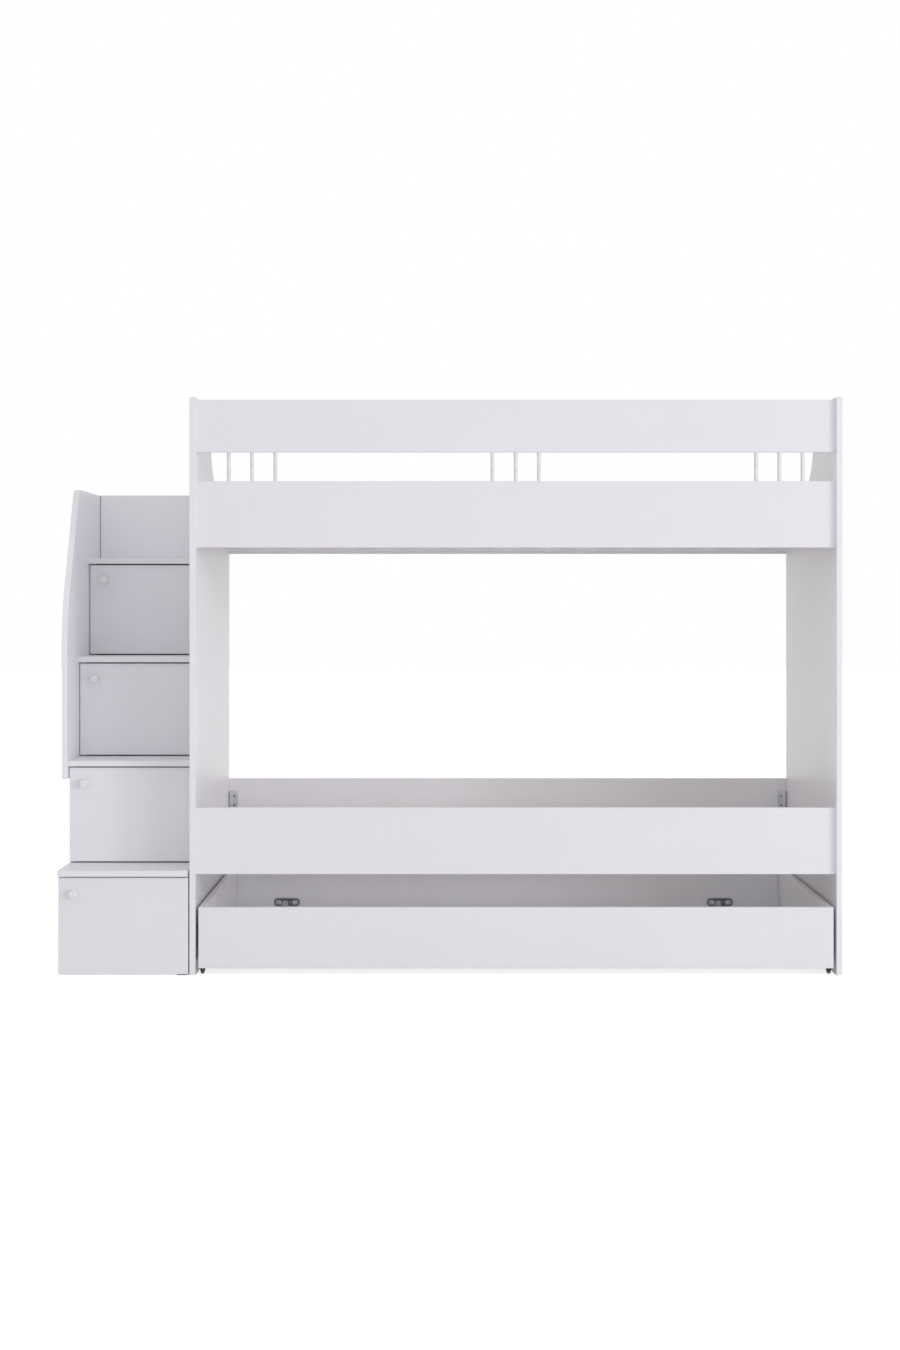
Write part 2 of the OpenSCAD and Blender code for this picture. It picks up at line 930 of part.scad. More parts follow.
// A fixed fork about its axle's middle: a plate with an inner flange, two cheeks and a web
module wheel_fork() {
    half = wheel_w / 2 + fork_gap;
    outer = half + fork_t;
    plate_z = wheel_clear + wheel_d / 2;
    block([-outer, -fork_half_l, plate_z], [fork_flange, fork_half_l, plate_z + fork_plate_t]);
    for (x = [-outer, half])
        translate([x, 0, 0]) rotate([90, 0, 90]) linear_extrude(fork_t) {
            circle(fork_boss_r);
            translate([-fork_cheek_half, 0]) square([2 * fork_cheek_half, plate_z + eps]);
        }
    translate([outer - eps, fork_web_t / 2, 0])
        rotate([90, 0, 0]) linear_extrude(fork_web_t)
            polygon([[0, plate_z], [fork_web, plate_z], [0, 0]]);
}

module wheel_forks() {
    color(wheel_black)
        difference() {
            at_wheels()
                translate($at)
                    if ($in > 0)
                        wheel_fork();
                    else
                        mirror([1, 0, 0]) wheel_fork();
            at_wheels() bar($at - [board_t, 0, 0], [1, 0, 0], axle_d + fit, 2 * board_t);
            fork_screw_bores();
        }
}

module fork_screws() {
    color(zinc)
        at_fork_screws() {
            bar($at, -$dir, flat_head_d, rivet_h);
            bar($at, $dir, small_screw_d, fork_plate_t + fork_screw_bite);
        }
}

module wheel_axles() {
    l = wheel_w + 2 * (fork_gap + fork_t) + axle_proud;
    color(zinc) at_wheels() bar($at - [l / 2, 0, 0], [1, 0, 0], axle_d, l);
}

module wheel(p) {
    r = wheel_d / 2;
    w = wheel_w / 2;
    bore = axle_d / 2 + fit / 2;
    color(wheel_black)
        translate(p) rotate([0, 90, 0]) rotate_extrude()
            polygon([
                [bore, -w], [r - wheel_bevel, -w], [r, wheel_bevel - w],
                [r, w - wheel_bevel], [r - wheel_bevel, w], [bore, w]]);
}

left_end_panel();
right_end_panel();
guard_rail();
guard_rods();
upper_front_rail();
upper_rear_rail();
lower_front_rail();
lower_rear_rail();
ledgers(upper_slat_z);  // upper_ledgers
slats(upper_slat_z);  // upper_slats
ledgers(lower_slat_z);  // lower_ledgers
slats(lower_slat_z);  // lower_slats
corner_brackets();
bracket_screws();
frame_screws();
stair_back_panel();
stair_side_guard();
stair_floor_board();
stair_screws();
tread(1);  // tread_1
tread(2);  // tread_2
tread(3);  // tread_3
tread(4);  // tread_4
left_side(1);  // left_side_1
left_side(2);  // left_side_2
left_side(3);  // left_side_3
left_side(4);  // left_side_4
right_side(1);  // right_side_1
right_side(2);  // right_side_2
right_side(3);  // right_side_3
right_side(4);  // right_side_4
hinge_plates();
hinge_screws();
door(1);  // door_1
door(2);  // door_2
door(3);  // door_3
door(4);  // door_4
knob(1);  // knob_1
knob(2);  // knob_2
knob(3);  // knob_3
knob(4);  // knob_4
drawer_front();
drawer_left_side();
drawer_right_side();
drawer_back();
drawer_base();
drawer_battens();
drawer_screws();
base_fittings();
fitting_screws();
wheel_forks();
fork_screws();
wheel_axles();
wheel(wheel_at(false, false));  // wheel_front_left
wheel(wheel_at(true, false));  // wheel_front_right
wheel(wheel_at(false, true));  // wheel_rear_left
wheel(wheel_at(true, true));  // wheel_rear_right
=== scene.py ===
"""Looks of a white bunk bed with a staircase of cupboards and a trundle drawer on wheels.

Everything is in metres. X runs along the bed away from the stairs, Y from the front to the wall
and Z up. Finishes are procedural and read the place on the piece at rest.
"""

import logging
import math
from dataclasses import dataclass, field, replace
from enum import Enum
from typing import Dict, List, Optional, Sequence, Tuple, Union

import bmesh
import bpy
import numpy as np
from mathutils import Matrix, Vector


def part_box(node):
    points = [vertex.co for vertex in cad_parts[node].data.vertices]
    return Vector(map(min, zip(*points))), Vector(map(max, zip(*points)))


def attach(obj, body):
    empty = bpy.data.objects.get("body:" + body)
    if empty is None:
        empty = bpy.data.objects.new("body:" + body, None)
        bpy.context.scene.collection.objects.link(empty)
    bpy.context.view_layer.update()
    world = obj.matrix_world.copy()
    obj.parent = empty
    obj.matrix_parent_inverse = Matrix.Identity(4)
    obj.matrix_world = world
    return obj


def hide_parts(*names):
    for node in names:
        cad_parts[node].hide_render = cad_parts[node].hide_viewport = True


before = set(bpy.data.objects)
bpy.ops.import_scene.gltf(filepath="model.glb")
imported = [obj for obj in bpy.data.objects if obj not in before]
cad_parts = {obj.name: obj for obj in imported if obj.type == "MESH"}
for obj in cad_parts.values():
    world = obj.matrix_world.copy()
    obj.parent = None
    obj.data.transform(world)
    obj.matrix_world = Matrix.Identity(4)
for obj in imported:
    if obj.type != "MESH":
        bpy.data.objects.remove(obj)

LOG = logging.getLogger("bunk_bed")

MM = 0.001
X, Y, Z = range(3)
TO_RIGHT = Vector((1, 0, 0))
TO_FRONT = Vector((0, -1, 0))
FRAME_BODY = "frame"
DRAWER_BODY = "drawer"
STEPS = 4
LINED = 1  # the material index of faces that take a piece's second material
SAME_PLACE = 6  # decimals of a metre to which two corner points are the same

Colour = Tuple[float, float, float]
Pair = Tuple[float, float]
Outline = List[Pair]
Key = Union[int, str]
Value = Union["Wire", float, Sequence[float]]


class Drive(Enum):
    """The recess in a screw's head."""

    CROSS = "cross"
    HEX = "hex"


class Head(Enum):
    """A screw head's side from below up, as shares of (its radius, its height under the top)."""

    DOMED = ((1.0, 1.0), (1.0, 0.62), (0.96, 0.3), (0.88, 0.08))
    FLAT = ((1.0, 1.0), (1.0, 0.12), (0.95, 0.0))


class Wire:
    """An output socket in a finish's nodes that takes part in plain arithmetic."""

    def __init__(self, graph: "Graph", socket: bpy.types.NodeSocket) -> None:
        """Keep the socket and the nodes it is one of."""
        self.graph = graph
        self.socket = socket

    def maths(self, operation: str, *values: Value) -> "Wire":
        """The output of a new Math node that takes the values in order."""
        return self.graph.node("ShaderNodeMath", {"operation": operation}, dict(enumerate(values)))

    def __add__(self, other: Value) -> "Wire":
        """self + other."""
        return self.maths("ADD", self, other)

    def __radd__(self, other: Value) -> "Wire":
        """other + self."""
        return self.maths("ADD", other, self)

    def __sub__(self, other: Value) -> "Wire":
        """self - other."""
        return self.maths("SUBTRACT", self, other)

    def __rsub__(self, other: Value) -> "Wire":
        """other - self."""
        return self.maths("SUBTRACT", other, self)

    def __mul__(self, other: Value) -> "Wire":
        """self * other."""
        return self.maths("MULTIPLY", self, other)

    def __rmul__(self, other: Value) -> "Wire":
        """other * self."""
        return self.maths("MULTIPLY", other, self)

    def __truediv__(self, other: Value) -> "Wire":
        """self / other."""
        return self.maths("DIVIDE", self, other)

    def __rtruediv__(self, other: Value) -> "Wire":
        """other / self."""
        return self.maths("DIVIDE", other, self)

    def __pow__(self, other: Value) -> "Wire":
        """self ** other."""
        return self.maths("POWER", self, other)

    def __rpow__(self, other: Value) -> "Wire":
        """other ** self."""
        return self.maths("POWER", other, self)

    def __abs__(self) -> "Wire":
        """abs(self)."""
        return self.maths("ABSOLUTE", self)

    def least(self, other: Value) -> "Wire":
        """The smaller of the two values."""
        return self.maths("MINIMUM", self, other)

    def most(self, other: Value) -> "Wire":
        """The larger of the two values."""
        return self.maths("MAXIMUM", self, other)

    def whole(self) -> "Wire":
        """The value rounded down to a whole number."""
        return self.maths("FLOOR", self)

    def root(self) -> "Wire":
        """The value's square root."""
        return self.maths("SQRT", self)

    def sine(self) -> "Wire":
        """The sine of the value in radians."""
        return self.maths("SINE", self)

    def swing(self) -> "Wire":
        """A noise from 0 to 1 as a swing about 0."""
        return self - 0.5

    def fade(self, start: float, end: float) -> "Wire":
        """Turn the value smoothly into a mask.

        Args:
            start: The value at which the mask is 0.
            end: The value at which the mask is 1.

        Returns:
            The mask, from 0 to 1.
        """
        flip = start > end
        low, high = min(start, end), max(start, end)
        return self.graph.node(
            "ShaderNodeMapRange",
            {"interpolation_type": "SMOOTHSTEP"},
            {"Value": self, "From Min": low, "From Max": high,
             "To Min": float(flip), "To Max": float(not flip)})

    def beside(self, *keys: Key) -> List["Wire"]:
        """Outputs of the same node, by index or name."""
        return [Wire(self.graph, self.socket.node.outputs[key]) for key in keys]


class Graph:
    """The nodes of one material or of the world."""

    def __init__(self, tree: bpy.types.NodeTree) -> None:
        """Empty the node tree and keep it."""
        self.tree = tree
        self.tree.nodes.clear()

    @staticmethod
    def _socket(sockets: Sequence[bpy.types.NodeSocket], key: Key) -> bpy.types.NodeSocket:
        """Find a socket.

        Args:
            sockets: The inputs or the outputs of a node.
            key: The socket's index, identifier or name.

        Returns:
            The socket.
        """
        if isinstance(key, int):
            return sockets[key]
        exact = [s for s in sockets if s.identifier == key]
        return (exact or [s for s in sockets if s.name == key])[0]

    def node(self, kind: str, settings: Optional[Dict[str, object]] = None,
             sockets: Optional[Dict[Key, Value]] = None, output: Key = 0) -> Wire:
        """Add a node.

        Args:
            kind: The node's type.
            settings: What is set on the node before its sockets are.
            sockets: Values or links of its input sockets.
            output: The output that is returned.

        Returns:
            One of the node's outputs.
        """
        made = self.tree.nodes.new(kind)
        for name, value in (settings or {}).items():
            setattr(made, name, value)
        for key, value in (sockets or {}).items():
            target = self._socket(made.inputs, key)
            if isinstance(value, Wire):
                self.tree.links.new(value.socket, target)
            elif hasattr(target.default_value, "__len__") and len(target.default_value) == 4:
                target.default_value = (*value[:3], 1.0)
            else:
                target.default_value = value
        return Wire(self, self._socket(made.outputs, output) if len(made.outputs) else None)

    def mix(self, share: Value, first: Value, second: Value) -> Wire:
        """Two colours mixed, with the second one's share from 0 to 1."""
        sockets = {"Factor_Float": share, "A_Color": first, "B_Color": second}
        return self.node("ShaderNodeMix", {"data_type": "RGBA"}, sockets, "Result_Color")

    def place(self) -> Wire:
        """The place on the piece at rest, in metres."""
        return self.node("ShaderNodeTexCoord", output="Object")

    def facing(self) -> Wire:
        """The direction that the surface faces at rest."""
        return self.node("ShaderNodeTexCoord", output="Normal")

    def parts(self, vector: Wire) -> List[Wire]:
        """The three coordinates of a vector."""
        return self.node("ShaderNodeSeparateXYZ", sockets={0: vector}).beside(X, Y, Z)

    def shifted(self, vector: Wire, by: Sequence[float]) -> Wire:
        """The vector with a step added."""
        return self.node("ShaderNodeVectorMath", {"operation": "ADD"}, {0: vector, 1: by})

    def stretched(self, vector: Wire, by: Sequence[float]) -> Wire:
        """The vector with each coordinate multiplied."""
        return self.node("ShaderNodeVectorMath", {"operation": "MULTIPLY"}, {0: vector, 1: by})

    def noise(self, at: Wire, grain: float, detail: float = 2.0) -> Wire:
        """Soft noise from 0 to 1, with lumps of grain metres and detail finer layers."""
        return self.node("ShaderNodeTexNoise",
                         sockets={"Vector": at, "Scale": 1.0 / grain, "Detail": detail})

    def bump(self, height: Wire, depth: float, strength: float = 1.0) -> Wire:
        """A surface that rises with height, by depth metres at most."""
        return self.node("ShaderNodeBump",
                         sockets={"Strength": strength, "Distance": depth, "Height": height})

    def surface(self, **values: Value) -> Wire:
        """The Principled shader, each socket named with an underscore for a space."""
        named = {key.replace("_", " "): value for key, value in values.items()}
        return self.node("ShaderNodeBsdfPrincipled", sockets=named)

    def show(self, shader: Wire, kind: str = "ShaderNodeOutputMaterial") -> None:
        """Show the shader on the surface."""
        self.node(kind, sockets={"Surface": shader})


def new_material(name: str) -> Tuple[bpy.types.Material, Graph]:
    """Make an empty material.

    Args:
        name: The material's name.

    Returns:
        The material and its nodes.
    """
    material = bpy.data.materials.new(name)
    material.use_nodes = True
    return material, Graph(material.node_tree)


def times(values: Sequence[float], factor: float) -> Tuple[float, ...]:
    """Each of the values multiplied by the factor."""
    return tuple(factor * value for value in values)


@dataclass(frozen=True)
class BoardFinish:
    """Satin laminate on chipboard, with bands glued round its narrow edges."""

    name: str
    colour: Colour
    band: Colour
    roughness: float
    rough_swing: float = 0.12
    band_gloss: float = 0.06  # how much smoother the band is
    band_width: float = 1.1 * MM
    broad_side: Pair = (0.55, 0.8)  # from band to laminate, by how squarely a face looks out
    glue_line: float = 0.35 * MM
    glue_tone: float = 0.7  # the line's colour as a share of the laminate's
    glue_share: float = 0.35
    glue_depth: float = 2.0  # in depths of the peel
    peel: float = 1.3 * MM
    peel_depth: float = 0.012 * MM
    cloud: float = 0.35
    cloud_edge: Pair = (0.3, 0.7)
    cloud_tone: float = 0.985
    dust: float = 0.05
    dust_grain: float = 60.0 * MM
    dust_colour: Colour = (0.62, 0.59, 0.55)
    level_face: Pair = (0.7, 0.95)  # from clean to dusty, by how far a face looks up
    painted_gap_shadow: float = 0.0  # the width of a painted shadow of a gap at the front face's left edge
    gap_shadow_core: float = 0.7  # the share of it that is fully dark
    gap_shadow_colour: Colour = (0.10, 0.098, 0.10)
    gap_shadow_front: Pair = (0.5, 0.9)  # from no painted shadow to the full one, by how far a face looks out
    spread: float = 7.3  # the noise is shifted by the board's own place times this

    def make(self, node: str) -> bpy.types.Material:
        """Make the finish for one board, with its own clouding and edge lines.

        Args:
            node: The CAD node that is the board.

        Returns:
            The material.
        """
        low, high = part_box(node)
        size = high - low
        thin = min((X, Y, Z), key=lambda i: size[i])
        material, graph = new_material(f"{self.name}.{node}")
        place = graph.place()
        own = graph.shifted(place, times(low + high, self.spread))
        # On a face, the second smallest distance to the board's sides is that to its nearest edge.
        reach = [(c - low[i]).least(high[i] - c) for i, c in enumerate(graph.parts(place))]
        nearest = reach[X].least(reach[Y])
        other = reach[X].most(reach[Y])
        edge = nearest.most(other.least(reach[Z]))
        facing = graph.parts(graph.facing())
        broad = abs(facing[thin]).fade(*self.broad_side)
        line = abs(edge - self.band_width).fade(self.glue_line, 0.0) * broad
        cloud = graph.noise(own, self.cloud, detail=3.0)
        peel = graph.noise(own, self.peel, detail=1.0)
        settled = facing[Z].fade(*self.level_face) * graph.noise(own, self.dust_grain, detail=4.0)
        base = graph.mix(cloud.fade(*self.cloud_edge), times(self.colour, self.cloud_tone),
                         self.colour)
        base = graph.mix(broad, self.band, base)
        base = graph.mix(line * self.glue_share, base, times(self.colour, self.glue_tone))
        base = graph.mix(settled * self.dust, base, self.dust_colour)
        # Painted shadow: a dark strip along the front face's left edge stands in for the shade in a
        # gap beside the next board.
        if self.painted_gap_shadow:
            from_left = graph.parts(place)[X] - low.x
            gap_shade = from_left.fade(self.painted_gap_shadow, self.gap_shadow_core * self.painted_gap_shadow)
            front = (0 - facing[Y]).fade(*self.gap_shadow_front)
            base = graph.mix(gap_shade * front, base, self.gap_shadow_colour)
        rough = (self.roughness + cloud.swing() * self.rough_swing + settled * self.rough_swing
                 - (1 - broad) * self.band_gloss)
        height = peel - line * self.glue_depth
        graph.show(graph.surface(Base_Color=base, Roughness=rough,
                                 Normal=graph.bump(height, self.peel_depth)))
        return material


@dataclass(frozen=True)
class BirchFinish:
    """Planed birch with growth rings, fibres and a few knots, laid in rows along X.

    Each row is a board of its own, cut lengthways beside the pith of its tree.
    """

    name: str
    row_start: float
    row_pitch: float
    early: Colour = (0.83, 0.785, 0.71)
    late: Colour = (0.71, 0.645, 0.55)
    pale: Colour = (0.86, 0.825, 0.76)
    knot: Colour = (0.40, 0.30, 0.21)
    ring: float = 4.5 * MM
    ring_wave: float = 6.0
    ring_edge: float = 2.2
    ring_share: float = 0.7
    pale_share: float = 0.3
    pith_off: Pair = (20.0 * MM, 30.0 * MM)  # at least, and how much more at most
    pith_slope: Pair = (0.012, 0.35)  # along Y and up Z
    wander: float = 50.0 * MM
    wander_grain: float = 90.0 * MM
    wander_stretch: float = 0.25
    fibre: float = 0.9 * MM
    fibre_stretch: float = 0.02
    fibre_edge: Pair = (0.35, 0.75)
    fibre_share: float = 0.28
    knot_cell: float = 0.2
    knot_stretch: float = 0.45
    knot_shift: Pair = (3.0, 0.37)  # how the knots differ from row to row
    knot_eye: Pair = (0.045, 0.02)
    knot_halo: Pair = (0.14, 0.03)
    knot_swell: float = 6.0 * MM  # how far a knot pushes the rings out
    knot_share: float = 0.85
    roughness: float = 0.52
    rough_fibre: float = 0.14
    rough_ring: float = 0.06
    relief: float = 0.12 * MM
    relief_strength: float = 0.6
    relief_parts: Tuple[float, float, float] = (0.6, 0.4, 0.3)  # of fibres, rings and knots

    def make(self) -> bpy.types.Material:
        """Make the finish.

        Returns:
            The material.
        """
        material, graph = new_material(self.name)
        place = graph.place()
        x, y, z = graph.parts(place)
        row = ((x - self.row_start) / self.row_pitch).whole()
        middle = self.row_start + (row + 0.5) * self.row_pitch
        seed = graph.node("ShaderNodeTexWhiteNoise", {"noise_dimensions": "1D"}, {"W": row + 0.5})
        wander = graph.noise(graph.stretched(place, (1, self.wander_stretch, 1)),
                             self.wander_grain).swing()
        across = x - middle + (seed.swing() + wander) * self.wander
        deep = z * self.pith_slope[1] + y * self.pith_slope[0]
        deep = deep + seed * self.pith_off[1] + self.pith_off[0]
        radius = (across * across + deep * deep).root()
        spots = graph.node("ShaderNodeCombineXYZ", sockets={
            X: x, Y: y + seed * self.knot_shift[0], Z: row * self.knot_shift[1]})
        knots = graph.node("ShaderNodeTexVoronoi", {"feature": "F1"},
                           {"Vector": graph.stretched(spots, (1, self.knot_stretch, 1)),
                            "Scale": 1.0 / self.knot_cell, "Randomness": 1.0}, "Distance")
        eye = knots.fade(*self.knot_eye)
        pushed = radius + knots.fade(*self.knot_halo) * self.knot_swell
        phase = pushed * (2 * math.pi / self.ring) + wander * self.ring_wave
        rings = (phase.sine() * 0.5 + 0.5) ** self.ring_edge
        fibres = graph.noise(graph.stretched(place, (1, self.fibre_stretch, 1)), self.fibre,
                             detail=3.0)
        base = graph.mix(rings * self.ring_share, self.early, self.late)
        base = graph.mix(fibres.fade(*self.fibre_edge) * self.fibre_share, base, self.late)
        base = graph.mix(seed * self.pale_share, base, self.pale)
        base = graph.mix(eye * self.knot_share, base, self.knot)
        rough = self.roughness + fibres * self.rough_fibre - rings * self.rough_ring
        by_fibre, by_ring, by_knot = self.relief_parts
        height = fibres * by_fibre - rings * by_ring - eye * by_knot
        graph.show(graph.surface(Base_Color=base, Roughness=rough,
                                 Normal=graph.bump(height, self.relief, self.relief_strength)))
        return material


@dataclass(frozen=True)
class PaintFinish:
    """Powder coat or moulded plastic: one colour with a fine skin over it."""

    name: str
    colour: Colour
    roughness: float
    skin: float
    skin_depth: float
    metal: float = 0.0
    coat: float = 0.0
    coat_roughness: float = 0.12
    rough_swing: float = 0.16
    smear: float = 20.0 * MM
    smear_edge: Pair = (0.35, 0.7)
    smear_tone: float = 0.93
    worn: Optional[Colour] = None
    worn_share: float = 0.5
    scuff: float = 1.6 * MM
    scuff_edge: Pair = (0.62, 0.72)
    scuff_from: Tuple[float, float, float] = (1.7, 0.4, 2.1)

    def make(self) -> bpy.types.Material:
        """Make the finish.

        Returns:
            The material.
        """
        material, graph = new_material(self.name)
        place = graph.place()
        skin = graph.noise(place, self.skin)
        smear = graph.noise(place, self.smear, detail=4.0)
        base = graph.mix(smear.fade(*self.smear_edge), times(self.colour, self.smear_tone),
                         self.colour)
        if self.worn:
            scuff = graph.noise(graph.shifted(place, self.scuff_from), self.scuff, detail=5.0)
            scuff = scuff.fade(*self.scuff_edge)
            base = graph.mix(scuff * smear * self.worn_share, base, self.worn)
        rough = self.roughness + smear.swing() * self.rough_swing
        graph.show(graph.surface(Base_Color=base, Roughness=rough, Metallic=self.metal,
                                 Coat_Weight=self.coat, Coat_Roughness=self.coat_roughness,
                                 Normal=graph.bump(skin, self.skin_depth)))
        return material


@dataclass(frozen=True)
class ZincFinish:
    """Bright zinc plate over rolled steel, with faint rolling lines and dull patches."""

    name: str
    colour: Colour
    roughness: float
    scratch: Colour = (0.42, 0.43, 0.45)
    scratch_share: float = 0.2
    line: float = 0.25 * MM
    line_edge: Pair = (0.4, 0.8)
    line_stretch: float = 0.03
    line_depth: float = 0.01 * MM
    patch: float = 6.0 * MM
    patch_edge: Pair = (0.3, 0.7)
    patch_tone: float = 0.8
    rough_patch: float = 0.14
    rough_line: float = 0.1

    def make(self) -> bpy.types.Material:
        """Make the finish.

        Returns:
            The material.
        """
        material, graph = new_material(self.name)
        place = graph.place()
        lines = graph.noise(graph.stretched(place, (1, 1, self.line_stretch)), self.line)
        patches = graph.noise(place, self.patch, detail=3.0)
        base = graph.mix(patches.fade(*self.patch_edge), self.colour,
                         times(self.colour, self.patch_tone))
        base = graph.mix(lines.fade(*self.line_edge) * self.scratch_share, base, self.scratch)
        rough = self.roughness + patches * self.rough_patch + lines.swing() * self.rough_line
        graph.show(graph.surface(Base_Color=base, Metallic=1.0, Roughness=rough,
                                 Normal=graph.bump(lines, self.line_depth)))
        return material


WHITE_BOARD = BoardFinish("white_board", colour=(0.862, 0.852, 0.886), band=(0.872, 0.864, 0.894),
                          roughness=0.42)
# Painted light: a lighter copy of the white board for the boards that stand in the shade, which
# soft light alone leaves darker.
PAINTED_LIGHT_BOARD = replace(WHITE_BOARD, colour=(0.925, 0.918, 0.95), band=(0.905, 0.898, 0.925))
# Matt board for the inner parts, its colour set lighter than the white board's as painted light for
# the shade inside.
INNER_BOARD = BoardFinish("inner_board", colour=(0.89, 0.885, 0.91), band=(0.85, 0.845, 0.87),
                          roughness=0.55, peel=0.7 * MM, peel_depth=0.02 * MM, dust=0.06)
ROD_PAINT = PaintFinish("rod_paint", (0.80, 0.795, 0.815), roughness=0.28, skin=0.8 * MM,
                        skin_depth=0.01 * MM, coat=1.0)
KNOB_GLOSS = PaintFinish("knob_white", (0.87, 0.87, 0.885), roughness=0.26, skin=2.5 * MM,
                         skin_depth=0.006 * MM, coat=0.35)
BLACK_PLASTIC = PaintFinish("black_plastic", (0.022, 0.022, 0.024), roughness=0.48,
                            skin=0.4 * MM, skin_depth=0.03 * MM, worn=(0.16, 0.155, 0.15))
DARK_STEEL = PaintFinish("dark_steel", (0.17, 0.17, 0.185), roughness=0.42, skin=0.5 * MM,
                         skin_depth=0.015 * MM, metal=0.6, worn=(0.5, 0.5, 0.52))
# The brackets' cut edges are bare steel; their dark tone is also painted shade that outlines the
# brackets.
CUT_EDGE = PaintFinish("cut_edge", (0.20, 0.20, 0.22), roughness=0.5, skin=0.4 * MM,
                       skin_depth=0.02 * MM, metal=0.7)
# Painted shade: a dark finish on the faces inside a screw's drive, for the shade in the recess.
RECESS_SHADE = PaintFinish("painted_recess_shade", (0.10, 0.10, 0.105), roughness=0.6, skin=0.3 * MM,
                           skin_depth=0.02 * MM, metal=0.3)
AXLE_ZINC = ZincFinish("zinc", (0.76, 0.77, 0.80), roughness=0.36)
BRACKET_ZINC = ZincFinish("zinc_brackets", (0.61, 0.62, 0.665), roughness=0.24)
PLATE_ZINC = ZincFinish("zinc_plates", (0.56, 0.57, 0.60), roughness=0.30)
SCREW_ZINC = ZincFinish("zinc_screws", (0.72, 0.73, 0.76), roughness=0.34)
# Painted shade: a darker copy of the screw zinc, for the dark look of the bracket screws' heads.
SHADED_SCREW = ZincFinish("painted_shade_screws", (0.40, 0.41, 0.44), roughness=0.30)
# Painted highlight: a near-white copy of the screw zinc, for the bright spots on the fittings'
# screw heads.
HIGHLIGHT_SCREW = ZincFinish("painted_highlight_screws", (0.94, 0.945, 0.96), roughness=0.36)
COOL_LIGHT = (0.97, 0.96, 1.0)


def facing_matrix(origin: Vector, out: Vector) -> Matrix:
    """The place at an origin whose local Z axis points along a direction."""
    return Matrix.Translation(origin) @ out.to_track_quat("Z", "Y").to_matrix().to_4x4()


def circle(radius: float, height: float, sides: int, offset: float = 0.0) -> List[Vector]:
    """Points round the local Z axis at a height, the first one offset by a share of a side."""
    angles = [2 * math.pi * (i + offset) / sides for i in range(sides)]
    return [Vector((radius * math.cos(a), radius * math.sin(a), height)) for a in angles]


def arc(centre: Pair, radius: float, start: float, end: float, count: int) -> Outline:
    """Points on an arc between two angles in degrees, both ends included, in count steps."""
    angles = [math.radians(start + (end - start) * i / count) for i in range(count + 1)]
    return [(centre[0] + radius * math.cos(a), centre[1] + radius * math.sin(a)) for a in angles]


def rounded_outline(width: float, height: float, radius: float, count: int = 8) -> Outline:
    """A rectangle with round corners about the origin.

    Args:
        width: Its width.
        height: Its height.
        radius: The corners' radius.
        count: The steps in each corner.

    Returns:
        The outline, anticlockwise.
    """
    x = width / 2 - radius
    y = height / 2 - radius
    corners = ((x, y, 0), (-x, y, 90), (-x, -y, 180), (x, -y, 270))
    return [p for cx, cy, a in corners for p in arc((cx, cy), radius, a, a + 90, count)]


